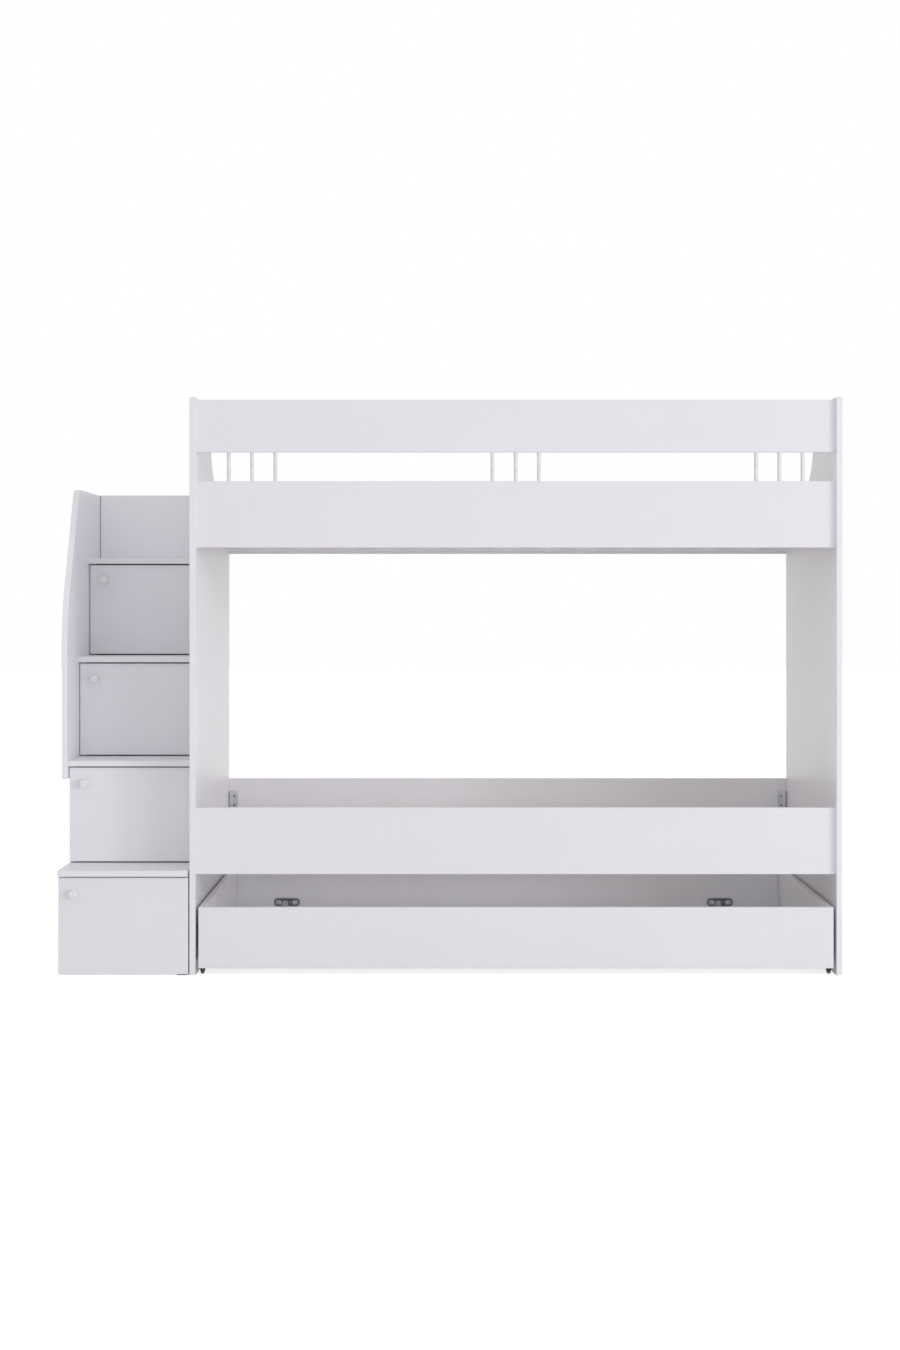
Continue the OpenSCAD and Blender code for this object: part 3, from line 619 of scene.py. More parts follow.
class Workpiece:
    """A mesh that is built up from turned and pressed forms."""

    def __init__(self) -> None:
        """Start with an empty mesh."""
        self.mesh = bmesh.new()

    def ring(self, points: Sequence[Vector], place: Matrix) -> List[bmesh.types.BMVert]:
        """Add a row of points at a place, as new vertices."""
        return [self.mesh.verts.new(place @ Vector(p)) for p in points]

    def level_ring(self, outline: Outline, height: float,
                   place: Matrix) -> List[bmesh.types.BMVert]:
        """Add an outline at a height above a place, as new vertices."""
        return self.ring([Vector((x, y, height)) for x, y in outline], place)

    def skin(self, rings: Sequence[Sequence[bmesh.types.BMVert]],
             closed: bool = False) -> List[bmesh.types.BMFace]:
        """Join rings of equally many vertices with faces.

        Args:
            rings: The rings in order.
            closed: Whether the last ring joins the first one.

        Returns:
            The new faces.
        """
        pairs = list(zip(rings, rings[1:])) + ([(rings[-1], rings[0])] if closed else [])
        faces = []
        for one, two in pairs:
            for i in range(len(one)):
                j = (i + 1) % len(one)
                faces.append(self.mesh.faces.new((one[i], one[j], two[j], two[i])))
        return faces

    def caps(self, rings: Sequence[Sequence[bmesh.types.BMVert]]) -> List[bmesh.types.BMFace]:
        """Close the first and the last ring with a face each."""
        return [self.mesh.faces.new(rings[0][::-1]), self.mesh.faces.new(rings[-1])]

    def turn(self, profile: Outline, place: Matrix, sides: int) -> None:
        """Turn a profile about the local Z axis.

        Args:
            profile: (radius, height) pairs, which start and end at a small flat.
            place: Where the turned form goes.
            sides: How many sides it has.
        """
        rings = [self.ring(circle(radius, height, sides), place) for radius, height in profile]
        self.skin(rings)
        self.caps(rings)

    def press(self, outline: Outline, thickness: float, place: Matrix) -> None:
        """Raise an outline along the local Z axis.

        Args:
            outline: The outline, anticlockwise.
            thickness: How far it is raised.
            place: Where it goes.
        """
        rings = [self.level_ring(outline, height, place) for height in (0.0, thickness)]
        self.skin(rings)
        self.caps(rings)

    def frame_round(self, outer: Outline, inner: Outline, thickness: float,
                    place: Matrix) -> None:
        """Raise the band between two outlines of equally many points.

        Args:
            outer: The outer outline, anticlockwise.
            inner: The inner outline, point for point.
            thickness: How far it is raised.
            place: Where it goes.
        """
        section = ((outer, 0.0), (outer, thickness), (inner, thickness), (inner, 0.0))
        rings = [self.level_ring(outline, height, place) for outline, height in section]
        self.skin(rings, closed=True)

    def made(self, name: str, body: str, slot: str, finish: bpy.types.Material,
             lining: Optional[bpy.types.Material] = None, sharp: float = 35.0,
             ease: float = 0.0) -> bpy.types.Object:
        """Finish the mesh as a piece that rides on a body.

        Args:
            name: The piece's name.
            body: The CAD body that it moves with.
            slot: Not used.
            finish: The material.
            lining: The material of the lined faces, such as a recess.
            sharp: Edges of more degrees than this stay sharp.
            ease: The width of the bevel on those edges.

        Returns:
            The piece.
        """
        bmesh.ops.recalc_face_normals(self.mesh, faces=self.mesh.faces[:])
        data = bpy.data.meshes.new(name)
        self.mesh.to_mesh(data)
        self.mesh.free()
        data.polygons.foreach_set("use_smooth", [True] * len(data.polygons))
        data.set_sharp_from_angle(angle=math.radians(sharp))
        for material in (finish, lining) if lining else (finish,):
            data.materials.append(material)
        piece = bpy.data.objects.new(name, data)
        bpy.context.scene.collection.objects.link(piece)
        if ease:
            bevel = piece.modifiers.new("eased edges", "BEVEL")
            bevel.width = ease
            bevel.segments = 2
            bevel.limit_method = "ANGLE"
            bevel.angle_limit = math.radians(sharp)
        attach(piece, body)
        LOG.info("%s: %d faces, rides on %s", name, len(data.polygons), body)
        return piece


def solids_of(node: str) -> List[np.ndarray]:
    """Split a CAD node into its separate solids, which share no corner point.

    Args:
        node: The CAD node.

    Returns:
        The corner points of each solid.
    """
    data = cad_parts[node].data
    points = np.array([v.co for v in data.vertices], float).reshape(-1, 3)
    _, same = np.unique(np.round(points, SAME_PLACE), axis=0, return_inverse=True)
    same = same.reshape(-1)
    parent = list(range(int(same.max()) + 1))

    def root(i: int) -> int:
        """Find the member that stands for a point's solid.

        Args:
            i: The point's number.

        Returns:
            The number of the member.
        """
        while parent[i] != i:
            parent[i] = parent[parent[i]]
            i = parent[i]
        return i

    for edge in data.edges:
        one, two = (root(int(same[v])) for v in edge.vertices)
        parent[max(one, two)] = min(one, two)
    groups: Dict[int, List[int]] = {}
    for i, p in enumerate(same):
        groups.setdefault(root(int(p)), []).append(i)
    return [points[group] for group in groups.values()]


@dataclass
class Screw:
    """A screw as the CAD node has it, for a finer one in its place."""

    points: np.ndarray
    end_zone: float = 0.02  # the share of the length that counts as an end
    rim_zone: float = 0.99  # the share of the head's radius that counts as its rim
    top: Vector = field(init=False)
    out: Vector = field(init=False)
    length: float = field(init=False)
    head_r: float = field(init=False)
    head_h: float = field(init=False)
    shank_r: float = field(init=False)

    def __post_init__(self) -> None:
        """Read the screw's axis, head and shank from its points."""
        low = self.points.min(0)
        high = self.points.max(0)
        axis = int(np.argmax(high - low))
        middle = (low + high) / 2
        side = [i for i in (X, Y, Z) if i != axis]
        radius = np.hypot(*(self.points[:, i] - middle[i] for i in side))
        along = self.points[:, axis]
        self.length = float(high[axis] - low[axis])
        near = self.end_zone * self.length
        at_low = float(radius[along < low[axis] + near].max())
        at_high = float(radius[along > high[axis] - near].max())
        sign = 1.0 if at_high > at_low else -1.0
        top = high[axis] if sign > 0 else low[axis]
        self.shank_r = min(at_low, at_high)
        self.head_r = float(radius.max())
        rim = along[radius > self.rim_zone * self.head_r]
        self.head_h = float(np.abs(rim - top).max())
        middle[axis] = top
        self.top = Vector(middle)
        self.out = Vector([sign if i == axis else 0.0 for i in (X, Y, Z)])


@dataclass
class ScrewSet:
    """All the screws of one CAD node, with real heads and points.

    Sizes of a head are shares of its radius or height, and those of a point of the shank's radius.
    """

    node: str
    body: str
    drive: Drive
    head: Head
    finish: ZincFinish = SCREW_ZINC
    sides: int = 24
    hex_r: float = 0.48
    cross_r: float = 0.70
    cross_w: float = 0.34
    recess_depth: float = 0.75
    recess_taper: float = 0.8
    flat_r: float = 0.77
    point_r: float = 0.12
    point_l: float = 3.2
    sharp: float = 28.0

    def recess(self, radius: float) -> Outline:
        """The outline of the drive in the head.

        Args:
            radius: The head's radius.

        Returns:
            Its points, anticlockwise.
        """
        if self.drive is Drive.HEX:
            return [(p.x, p.y) for p in circle(self.hex_r * radius, 0.0, 6)]
        reach = self.cross_r * radius
        half = self.cross_w / 2 * radius
        quarter = ((reach, half), (half, half), (half, reach))
        return [(c * x - s * y, s * x + c * y)
                for c, s in ((1, 0), (0, 1), (-1, 0), (0, -1)) for x, y in quarter]

    def head_top(self, work: Workpiece, rim: Sequence[bmesh.types.BMVert], place: Matrix,
                 radius: float, depth: float) -> None:
        """Close the head with a flat that has the drive sunk into it.

        Args:
            work: The mesh in work.
            rim: The ring round the flat.
            place: The head's place.
            radius: The head's radius.
            depth: How deep the drive is.
        """
        outline = self.recess(radius)
        upper = work.level_ring(outline, 0.0, place)
        lower = work.level_ring([times(p, self.recess_taper) for p in outline], -depth, place)
        angles = [math.atan2(y, x) for x, y in outline]

        def owner(i: int) -> int:
            """Find the drive's corner that is nearest in angle to a vertex of the rim.

            Args:
                i: The vertex's number.

            Returns:
                The corner's number.
            """
            a = 2 * math.pi * (i % self.sides + 0.5) / self.sides
            gaps = [abs(math.remainder(a - b, 2 * math.pi)) for b in angles]
            return gaps.index(min(gaps))

        for i in range(self.sides):
            one = owner(i)
            two = owner(i + 1)
            j = (i + 1) % self.sides
            corners = [rim[i], rim[j], upper[two]] + ([upper[one]] if one != two else [])
            work.mesh.faces.new(corners)
        # The drive's walls and floor take the second material, the painted recess shade.
        for face in work.skin([upper, lower]) + [work.mesh.faces.new(lower)]:
            face.material_index = LINED

    def add(self, work: Workpiece, screw: Screw) -> None:
        """Add one screw to the mesh.

        Args:
            work: The mesh in work.
            screw: The screw's sizes and place.
        """
        place = facing_matrix(screw.top, screw.out)
        r = screw.head_r
        h = screw.head_h
        s = screw.shank_r
        tip = -screw.length
        profile = [(self.point_r * s, tip), (s, tip + self.point_l * s), (s, -h)]
        profile += [(across * r, -down * h) for across, down in self.head.value]
        profile += [(self.flat_r * r, 0.0)]
        rings = [work.ring(circle(q, z, self.sides, 0.5), place) for q, z in profile]
        work.skin(rings)
        work.mesh.faces.new(rings[0][::-1])
        self.head_top(work, rings[-1], place, r, self.recess_depth * h)

    def build(self) -> None:
        """Build the screws in one piece and put them in the node's place."""
        work = Workpiece()
        for points in solids_of(self.node):
            self.add(work, Screw(points))
        piece = work.made(f"{self.node}_fine", self.body, "zinc", self.finish.make(),
                          lining=RECESS_SHADE.make(), sharp=self.sharp)
        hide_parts(self.node)


def dress(node: str, finish: bpy.types.Material) -> None:
    """Give a CAD node its finish.

    Args:
        node: The CAD node.
        finish: The material.
    """
    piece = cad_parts[node]
    if not piece.material_slots:
        piece.data.materials.append(finish)
    for held in piece.material_slots:
        held.material = finish
    LOG.info("%s: finish %s", node, finish.name)


@dataclass
class CornerBrackets:
    """Bent brackets between rails and end panels, with round leaf corners."""

    bend_r: float = 2.5 * MM
    bend_steps: int = 5
    leaf_t: float = 2.0 * MM
    end_cut: float = 4.0 * MM
    end_belly: float = 0.3  # the share of the cut that is left halfway round a leaf corner
    at_end: float = 1.0 * MM  # how near to a leaf's end a point belongs to it
    ease: float = 0.25 * MM

    def add(self, work: Workpiece, points: np.ndarray, middle: Vector) -> None:
        """Add one bracket.

        Args:
            work: The mesh in work.
            points: The CAD bracket's points.
            middle: The middle of the bed, which the leaves point to.
        """
        low = Vector(points.min(0))
        high = Vector(points.max(0))
        left = low.x < middle.x
        front = low.y < middle.y
        corner = Vector((low.x if left else high.x, low.y if front else high.y, low.z))
        ways = (1.0 if left else -1.0, 1.0 if front else -1.0)
        leaf = high.x - low.x
        height = high.z - low.z
        t = self.leaf_t
        bend = (t + self.bend_r, t + self.bend_r)
        inner = arc(bend, self.bend_r, 270, 180, self.bend_steps)
        outer = arc(bend, self.bend_r + t, 180, 270, self.bend_steps)
        section = [(leaf, t)] + inner + [(t, leaf), (0.0, leaf)] + outer + [(leaf, 0.0)]
        cut = self.end_cut
        belly = self.end_belly * cut
        steps = [(0.0, cut), (belly, belly), (cut, 0.0)]
        levels = steps + [(height - rise, trim) for rise, trim in steps[::-1]]
        rings = []
        for z, trim in levels:
            line = []
            for x, y in section:
                x = x - trim if x > leaf - self.at_end else x
                y = y - trim if y > leaf - self.at_end else y
                line.append(corner + Vector((ways[X] * x, ways[Y] * y, z)))
            rings.append(work.ring(line, Matrix.Identity(4)))
        # Of each level's faces, the last one and the one after the inner side are leaf ends.
        ends = (1 + len(inner), len(section) - 1)
        rim = [face for i, face in enumerate(work.skin(rings)) if i % len(section) in ends]
        # The leaf ends and caps take the second material, the dark cut-edge finish that is partly
        # painted shade.
        for face in rim + work.caps(rings):
            face.material_index = LINED

    def build(self) -> None:
        """Build the brackets in one piece and put them in their node's place."""
        middle = (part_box("lower_front_rail")[0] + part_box("lower_rear_rail")[1]) / 2
        work = Workpiece()
        for points in solids_of("corner_brackets"):
            self.add(work, points, middle)
        piece = work.made("corner_brackets_bent", FRAME_BODY, "zinc", BRACKET_ZINC.make(),
                          lining=CUT_EDGE.make(), ease=self.ease)
        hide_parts("corner_brackets")


@dataclass
class BedFrame:
    """The two bunks between their end panels."""

    boards: Tuple[str, ...] = (
        "left_end_panel", "right_end_panel", "guard_rail", "upper_front_rail", "upper_rear_rail",
        "lower_front_rail", "lower_rear_rail")
    ledgers: Tuple[str, ...] = ("upper_ledgers", "lower_ledgers")
    slats: Tuple[str, ...] = ("upper_slats", "lower_slats")
    slat_count: int = 14

    def build(self) -> None:
        """Build the brackets and screws, and dress the boards."""
        CornerBrackets().build()
        # The bracket screws take the painted shade copy of the zinc.
        ScrewSet("bracket_screws", FRAME_BODY, Drive.CROSS, Head.DOMED, SHADED_SCREW).build()
        ScrewSet("frame_screws", FRAME_BODY, Drive.HEX, Head.FLAT).build()
        for node in self.boards:
            dress(node, WHITE_BOARD.make(node))
        for node in self.ledgers:
            dress(node, INNER_BOARD.make(node))
        dress("guard_rods", ROD_PAINT.make())
        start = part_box("left_end_panel")[1].x
        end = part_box("right_end_panel")[0].x
        birch = BirchFinish("slat_wood", start, (end - start) / self.slat_count).make()
        for node in self.slats:
            dress(node, birch)


@dataclass
class Staircase:
    """Four cupboards one behind the other, with their treads, back and side guard."""

    back: str = "stair_back_panel"
    guard: str = "stair_side_guard"
    floor: str = "stair_floor_board"
    back_gap_shadow: float = 2.4 * MM  # the width of the painted shadow of a gap between the guard and the back panel

    def build(self) -> None:
        """Build the screws and dress the boards."""
        ScrewSet("stair_screws", FRAME_BODY, Drive.CROSS, Head.DOMED).build()
        ScrewSet("hinge_screws", FRAME_BODY, Drive.CROSS, Head.FLAT).build()
        dress("hinge_plates", DARK_STEEL.make())
        dress(self.floor, INNER_BOARD.make(self.floor))
        # Painted light: the guard and the back take the lighter copy of the white board, for their
        # shade.
        dress(self.guard, PAINTED_LIGHT_BOARD.make(self.guard))
        # Painted shadow: the back has a dark strip at its left edge for the shade in the gap beside
        # the guard.
        dress(self.back, replace(PAINTED_LIGHT_BOARD, painted_gap_shadow=self.back_gap_shadow).make(self.back))
        for k in range(1, STEPS + 1):
            dress(f"tread_{k}", WHITE_BOARD.make(f"tread_{k}"))
            for side in ("left", "right"):
                dress(f"{side}_side_{k}", INNER_BOARD.make(f"{side}_side_{k}"))


@dataclass
class CupboardDoor:
    """A door with its round knob."""

    number: int
    spigot_r: float = 4.0 * MM
    spigot_core: float = 0.4  # the share of its radius that is flat at the end
    foot_out: float = 1.2 * MM
    foot_in: float = 1.1 * MM
    foot_h: float = 0.7 * MM
    neck_r: float = 6.0 * MM
    neck_l: float = 9.0 * MM
    waist: float = 0.8 * MM
    waist_from: float = 1.2 * MM
    waist_at: Tuple[float, ...] = (0.1, 0.35, 0.6, 0.85, 1.0)
    head_round: float = 6.5 * MM
    under_steps: int = 8
    over_steps: int = 10
    top_at: Tuple[float, ...] = (0.7, 0.35, 0.08)  # rings on the head's flat top
    sides: int = 56
    sharp: float = 40.0

    def knob_profile(self, radius: float, length: float, spigot: float) -> Outline:
        """The knob's outline about its axis, with the door's face at height 0.

        Args:
            radius: The head's radius.
            length: How far the knob stands out of the door.
            spigot: How far its spigot is in the door.

        Returns:
            (radius, height) pairs from the spigot's end to the head's middle.
        """
        r = self.head_round
        foot = [(self.spigot_core * self.spigot_r, -spigot), (self.spigot_r, -spigot),
                (self.spigot_r, 0.0), (self.neck_r + self.foot_out, 0.0),
                (self.neck_r + self.foot_in, self.foot_h)]
        rise = self.neck_l - self.waist_from
        waist = [(self.neck_r - self.waist * math.sin(math.pi * t), self.waist_from + t * rise)
                 for t in self.waist_at]
        under = arc((radius - r, self.neck_l + r), r, -90, 0, self.under_steps)
        over = arc((radius - r, length - r), r, 0, 90, self.over_steps)
        top = [(share * (radius - r), length) for share in self.top_at]
        return foot + waist + under + over + top

    def build(self) -> None:
        """Build the knob and dress the door."""
        door = f"door_{self.number}"
        node = f"knob_{self.number}"
        low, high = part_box(node)
        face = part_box(door)[0].y
        centre = Vector(((low.x + high.x) / 2, face, (low.z + high.z) / 2))
        profile = self.knob_profile((high.x - low.x) / 2, face - low.y, high.y - face)
        work = Workpiece()
        work.turn(profile, facing_matrix(centre, TO_FRONT), self.sides)
        piece = work.made(f"{node}_turned", door, "knob_white", KNOB_GLOSS.make(),
                          sharp=self.sharp)
        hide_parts(node)
        dress(door, WHITE_BOARD.make(door))


@dataclass
class BackFittings:
    """Fittings on the drawer's back: a bright plate with a dark rim, a barrel and a folded arm."""

    rim_w: float = 5.2 * MM
    rim_t: float = 1.0 * MM
    plate_t: float = 2.0 * MM
    end_r: float = 11.0 * MM
    back_zone: float = 0.1 * MM  # how near to the back face a point belongs to the plate
    bed_w: float = 36.0 * MM
    bed_t: float = 0.6 * MM
    barrel_r: float = 3.5 * MM
    barrel_l: float = 50.0 * MM
    barrel_drop: float = 4.0 * MM
    barrel_bore: float = 0.5  # the share of its radius that is flat at a knuckle's ends
    knuckles: int = 5
    knuckle_gap: float = 0.3 * MM
    knuckle_edge: float = 0.3 * MM
    knuckle_less: float = 0.35 * MM  # by which every other one is slimmer
    # Outlines of the arm and its lip in millimetres, about the plate's middle.
    arm: Tuple[Pair, ...] = ((-19.5, -22), (-17, -24.3), (4, -24.3), (7, -23.5), (1, 9),
                             (-12, 9))
    lip: Tuple[Pair, ...] = ((-18, -23.5), (5, -23.5), (4, -18), (-17, -18))
    arm_t: float = 3.4 * MM
    lip_t: float = 0.6 * MM
    rivet_r: float = 3.0 * MM
    rivet_at: float = 9.0 * MM
    # (share of its radius, height in millimetres) of the rivet's rings.
    rivet_dome: Tuple[Pair, ...] = ((1.0, 0.0), (1.0, 0.6), (0.8, 1.2), (0.4, 1.5), (0.05, 1.55))
    sides: int = 24
    rim_ease: float = 0.25 * MM
    plate_ease: float = 0.2 * MM

    def barrel(self, dark: Workpiece, centre: Vector) -> None:
        """Add the knuckles of a barrel.

        Args:
            dark: The mesh of the rims and barrels.
            centre: The barrel's middle.
        """
        pitch = self.barrel_l / self.knuckles
        length = pitch - self.knuckle_gap
        edge = self.knuckle_edge
        for i in range(self.knuckles):
            r = self.barrel_r - (self.knuckle_less if i % 2 else 0.0)
            core = self.barrel_bore * r
            profile = [(core, 0.0), (r - edge, 0.0), (r, edge), (r, length - edge),
                       (r - edge, length), (core, length)]
            start = -self.barrel_l / 2 + i * pitch + self.knuckle_gap / 2
            dark.turn(profile, facing_matrix(centre + start * TO_RIGHT, TO_RIGHT), self.sides)

    def add(self, dark: Workpiece, bright: Workpiece, points: np.ndarray) -> None:
        """Add one fitting.

        Args:
            dark: The mesh of the rims and barrels.
            bright: The mesh of the plates and arms.
            points: The CAD fitting's points.
        """
        back = points[:, Y].max()
        plate = points[np.abs(points[:, Y] - back) < self.back_zone]
        low = Vector(plate.min(0))
        high = Vector(plate.max(0))
        width = high.x - low.x
        height = high.z - low.z
        centre = Vector(((low.x + high.x) / 2, back, (low.z + high.z) / 2))
        level = Matrix.Translation(centre) @ Matrix.Rotation(math.radians(90), 4, "X")
        on_plate = level @ Matrix.Translation((0, 0, self.plate_t))
        on_arm = level @ Matrix.Translation((0, 0, self.plate_t + self.arm_t))
        outer, under, inner = (
            rounded_outline(width - 2 * cut, height - 2 * cut, self.end_r - cut)
            for cut in (0.0, self.rim_w / 2, self.rim_w))
        dark.frame_round(outer, inner, self.plate_t + self.rim_t, level)
        bright.press(under, self.plate_t, level)
        bed = rounded_outline(self.bed_w, height - self.rim_w, self.rim_t)
        dark.press(bed, self.plate_t + self.bed_t, level)
        off = Vector((0, -self.plate_t - self.barrel_r, height / 2 - self.barrel_drop))
        self.barrel(dark, centre + off)
        bright.press([times(p, MM) for p in self.arm], self.arm_t, on_plate)
        bright.press([times(p, MM) for p in self.lip], self.lip_t, on_arm)
        rivet = [(share * self.rivet_r, rise * MM) for share, rise in self.rivet_dome]
        bright.turn(rivet, on_plate @ Matrix.Translation((self.rivet_at, 0, 0)), self.sides)

    def build(self) -> None:
        """Build the fittings in a dark and a bright piece."""
        dark = Workpiece()
        bright = Workpiece()
        for points in solids_of("base_fittings"):
            self.add(dark, bright, points)
        rims = dark.made("base_fittings_rims", DRAWER_BODY, "dark_steel", DARK_STEEL.make(),
                         ease=self.rim_ease)
        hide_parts("base_fittings")
        bright.made("base_fittings_plates", DRAWER_BODY, "zinc", PLATE_ZINC.make(),
                    ease=self.plate_ease)


@dataclass
class Wheel:
    """A wheel with a hub, dished sides with ribs, and a bevelled tread."""

    node: str
    bore_r: float = 2.05 * MM
    hub_r: float = 4.6 * MM
    dish: float = 1.1 * MM
    dish_wall: float = 0.5 * MM
    rim_in: float = 2.2 * MM
    bevel: float = 3.5 * MM
    bevel_round: float = 0.3 * MM
    bevel_drop: float = 0.25 * MM
    tread_in: float = 0.5 * MM
    tread_drop: float = 0.4 * MM
    spokes: int = 6
    spoke_sides: int = 12  # sides of the wheel from one spoke to the next
    rib_sides: int = 3
    rib_drop: float = 0.15 * MM  # how far the ribs lie under the side's face
    sharp: float = 30.0

    def side_profile(self, r: float) -> List[Tuple[float, float, bool]]:
        """The outline of one side from the bore to the tread.

        Args:
            r: The wheel's radius.

        Returns:
            (radius, depth under the side's face, whether it is in the dish) of each ring.
        """
        start = r - self.bevel
        dish_out = start - self.rim_in
        return [(self.bore_r, 0.0, False), (self.hub_r, 0.0, False),
                (self.hub_r + self.dish_wall, self.dish, True), (dish_out, self.dish, True),
                (dish_out + self.dish_wall, 0.0, False), (start - self.bevel_round, 0.0, False),
                (start + self.bevel_round, self.bevel_drop, False),
                (r - self.tread_in, self.bevel - self.tread_drop, False),
                (r, self.bevel + self.bevel_round, False)]

    def build(self) -> None:
        """Build the wheel and put it in its node's place."""
        low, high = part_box(self.node)
        place = facing_matrix((low + high) / 2, TO_RIGHT)
        w = (high.x - low.x) / 2
        side = self.side_profile((high.z - low.z) / 2)
        work = Workpiece()
        rings = []
        for sign, rows in ((-1.0, side), (1.0, side[::-1])):
            for radius, depth, dished in rows:
                line = circle(radius, sign * (w - depth), self.spokes * self.spoke_sides)
                for i, point in enumerate(line):
                    if dished and i % self.spoke_sides < self.rib_sides:
                        point.z = sign * (w - self.rib_drop)
                rings.append(work.ring(line, place))
        work.skin(rings, closed=True)
        piece = work.made(f"{self.node}_ribbed", self.node, "black_plastic", BLACK_PLASTIC.make(),
                          sharp=self.sharp)
        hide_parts(self.node)


@dataclass
class Trundle:
    """The drawer under the lower bunk, with its wheels and back fittings."""

    front: str = "drawer_front"
    base: str = "drawer_base"
    inside: Tuple[str, ...] = ("drawer_left_side", "drawer_right_side", "drawer_back",
                               "drawer_base")
    wheels: Tuple[str, ...] = ("wheel_front_left", "wheel_front_right", "wheel_rear_left",
                               "wheel_rear_right")
    battens: int = 3

    def build(self) -> None:
        """Build the fittings, wheels and screws, and dress the boards."""
        BackFittings().build()
        for node in self.wheels:
            Wheel(node).build()
        # The fitting screws take the painted highlight copy of the zinc.
        ScrewSet("fitting_screws", DRAWER_BODY, Drive.CROSS, Head.DOMED, HIGHLIGHT_SCREW,
                 cross_r=0.5, cross_w=0.22).build()
        ScrewSet("fork_screws", DRAWER_BODY, Drive.CROSS, Head.DOMED).build()
        ScrewSet("drawer_screws", DRAWER_BODY, Drive.HEX, Head.FLAT).build()
        dress("wheel_axles", AXLE_ZINC.make())
        dress("wheel_forks", BLACK_PLASTIC.make())
        dress(self.front, WHITE_BOARD.make(self.front))
        # Painted light: the drawer's inner boards take the lighter copy of the white board, for
        # their shade.
        for node in self.inside:
            dress(node, PAINTED_LIGHT_BOARD.make(node))
        low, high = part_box(self.base)
        pitch = (high.x - low.x) / (self.battens + 1)
        dress("drawer_battens", BirchFinish("batten_wood", low.x + pitch / 2, pitch).make())


@dataclass(frozen=True)
class Softbox:
    """A soft lamp that faces the middle of the bed.

    Azimuth 0 is the camera's side, and 90 the bed's right end.
    """

    name: str
    azimuth: float
    elevation: float
    distance: float
    size: Pair
    power: float
    colour: Colour = (1.0, 1.0, 1.0)
    aim: Tuple[float, float, float] = (0.0, -0.3, 0.9)

    def build(self) -> None:
        """Hang the lamp."""
        azimuth = math.radians(self.azimuth)
        elevation = math.radians(self.elevation)
        level = math.cos(elevation)
        out = Vector((math.sin(azimuth) * level, -math.cos(azimuth) * level, math.sin(elevation)))
        data = bpy.data.lights.new(self.name, "AREA")
        data.shape = "RECTANGLE"
        data.size, data.size_y = self.size
        data.energy = self.power
        data.color = self.colour
        lamp = bpy.data.objects.new(self.name, data)
        lamp.matrix_world = facing_matrix(Vector(self.aim) + out * self.distance, out)
        bpy.context.scene.collection.objects.link(lamp)


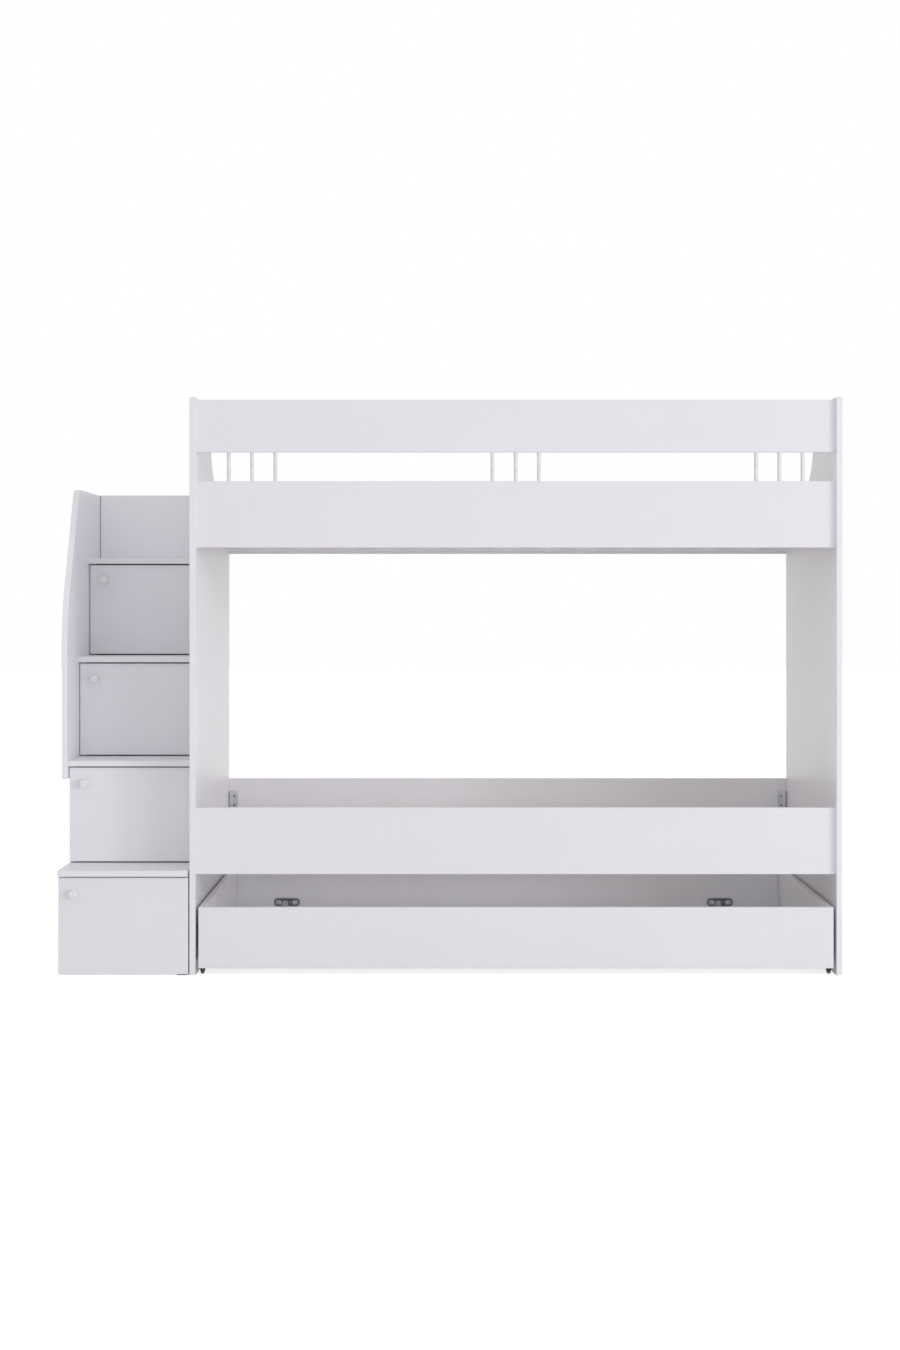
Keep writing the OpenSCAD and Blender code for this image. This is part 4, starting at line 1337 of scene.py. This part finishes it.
@dataclass
class Studio:
    """Pale floor, soft light from the front and the right, and the photograph's camera."""

    camera_at: Tuple[float, float, float] = (0.0192, -6.9375, 1.118)
    lens: float = 57.33
    shift: Pair = (-0.0025, -0.0533)
    sight: float = 200.0
    ambient: Colour = (0.70, 0.694, 0.71)
    lamps: Tuple[Softbox, ...] = (
        Softbox("key", azimuth=50.5, elevation=10.5, distance=12.0, size=(1.3, 1.3),
                power=175.0, colour=COOL_LIGHT),
        Softbox("low right", azimuth=38.0, elevation=2.5, distance=9.0, size=(3.0, 0.8),
                power=90.0, colour=COOL_LIGHT),
        Softbox("front", azimuth=0.0, elevation=1.8, distance=6.9, size=(0.8, 0.5), power=15.0))
    floor_size: float = 60.0
    floor_colour: Colour = (0.80, 0.80, 0.80)
    floor_roughness: float = 0.9
    floor_glow: float = 0.75
    mottle: float = 0.4
    mottle_tone: float = 0.97

    def seen(self, graph: Graph) -> Wire:
        """Tell the rays that show the background, to the eye or in metal and glass.

        Args:
            graph: The nodes that it is for.

        Returns:
            1 on those rays and 0 on the others.
        """
        eye, metal, glass = graph.node("ShaderNodeLightPath").beside(
            "Is Camera Ray", "Is Glossy Ray", "Is Transmission Ray")
        return eye.most(metal).most(glass)

    def build_camera(self) -> None:
        """Put up the camera."""
        data = bpy.data.cameras.new("camera")
        data.lens = self.lens
        data.shift_x, data.shift_y = self.shift
        data.clip_end = self.sight
        camera = bpy.data.objects.new("camera", data)
        camera.location = self.camera_at
        camera.rotation_euler = (math.radians(90), 0, 0)
        bpy.context.scene.collection.objects.link(camera)
        bpy.context.scene.camera = camera

    def build_world(self) -> None:
        """Make the white surroundings, which light the object softly."""
        world = bpy.data.worlds.new("studio")
        bpy.context.scene.world = world
        world.use_nodes = True
        graph = Graph(world.node_tree)
        light, white = (
            graph.node("ShaderNodeBackground", sockets={"Color": colour, "Strength": 1.0})
            for colour in (self.ambient, (1, 1, 1)))
        mixed = graph.node("ShaderNodeMixShader", sockets={0: self.seen(graph), 1: light, 2: white})
        graph.show(mixed, "ShaderNodeOutputWorld")

    def build_floor(self) -> None:
        """Lay the pale floor, which shows white and keeps the object's shadow."""
        half = self.floor_size / 2
        corners = [(-half, -half, 0), (half, -half, 0), (half, half, 0), (-half, half, 0)]
        data = bpy.data.meshes.new("floor")
        data.from_pydata(corners, [], [(0, 1, 2, 3)])
        floor = bpy.data.objects.new("floor", data)
        bpy.context.scene.collection.objects.link(floor)
        material, graph = new_material("floor")
        mottle = graph.noise(graph.place(), self.mottle, detail=3.0)
        colour = graph.mix(mottle, times(self.floor_colour, self.mottle_tone), self.floor_colour)
        plain = graph.surface(Base_Color=colour, Roughness=self.floor_roughness)
        lit = graph.surface(Base_Color=colour, Roughness=self.floor_roughness,
                            Emission_Color=(1, 1, 1), Emission_Strength=self.floor_glow)
        graph.show(graph.node("ShaderNodeMixShader",
                              sockets={0: self.seen(graph), 1: plain, 2: lit}))
        data.materials.append(material)

    def build(self) -> None:
        """Put up the camera, the lights and the floor."""
        self.build_camera()
        self.build_world()
        for lamp in self.lamps:
            lamp.build()
        self.build_floor()
        bpy.context.scene.view_settings.view_transform = "Standard"


def main() -> None:
    """Build the pieces in order and report each one."""
    logging.basicConfig(level=logging.INFO, format="%(name)s: %(message)s")
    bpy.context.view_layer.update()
    Studio().build()
    BedFrame().build()
    Staircase().build()
    for number in range(1, STEPS + 1):
        CupboardDoor(number).build()
    Trundle().build()


if __name__ == "__main__":
    main()
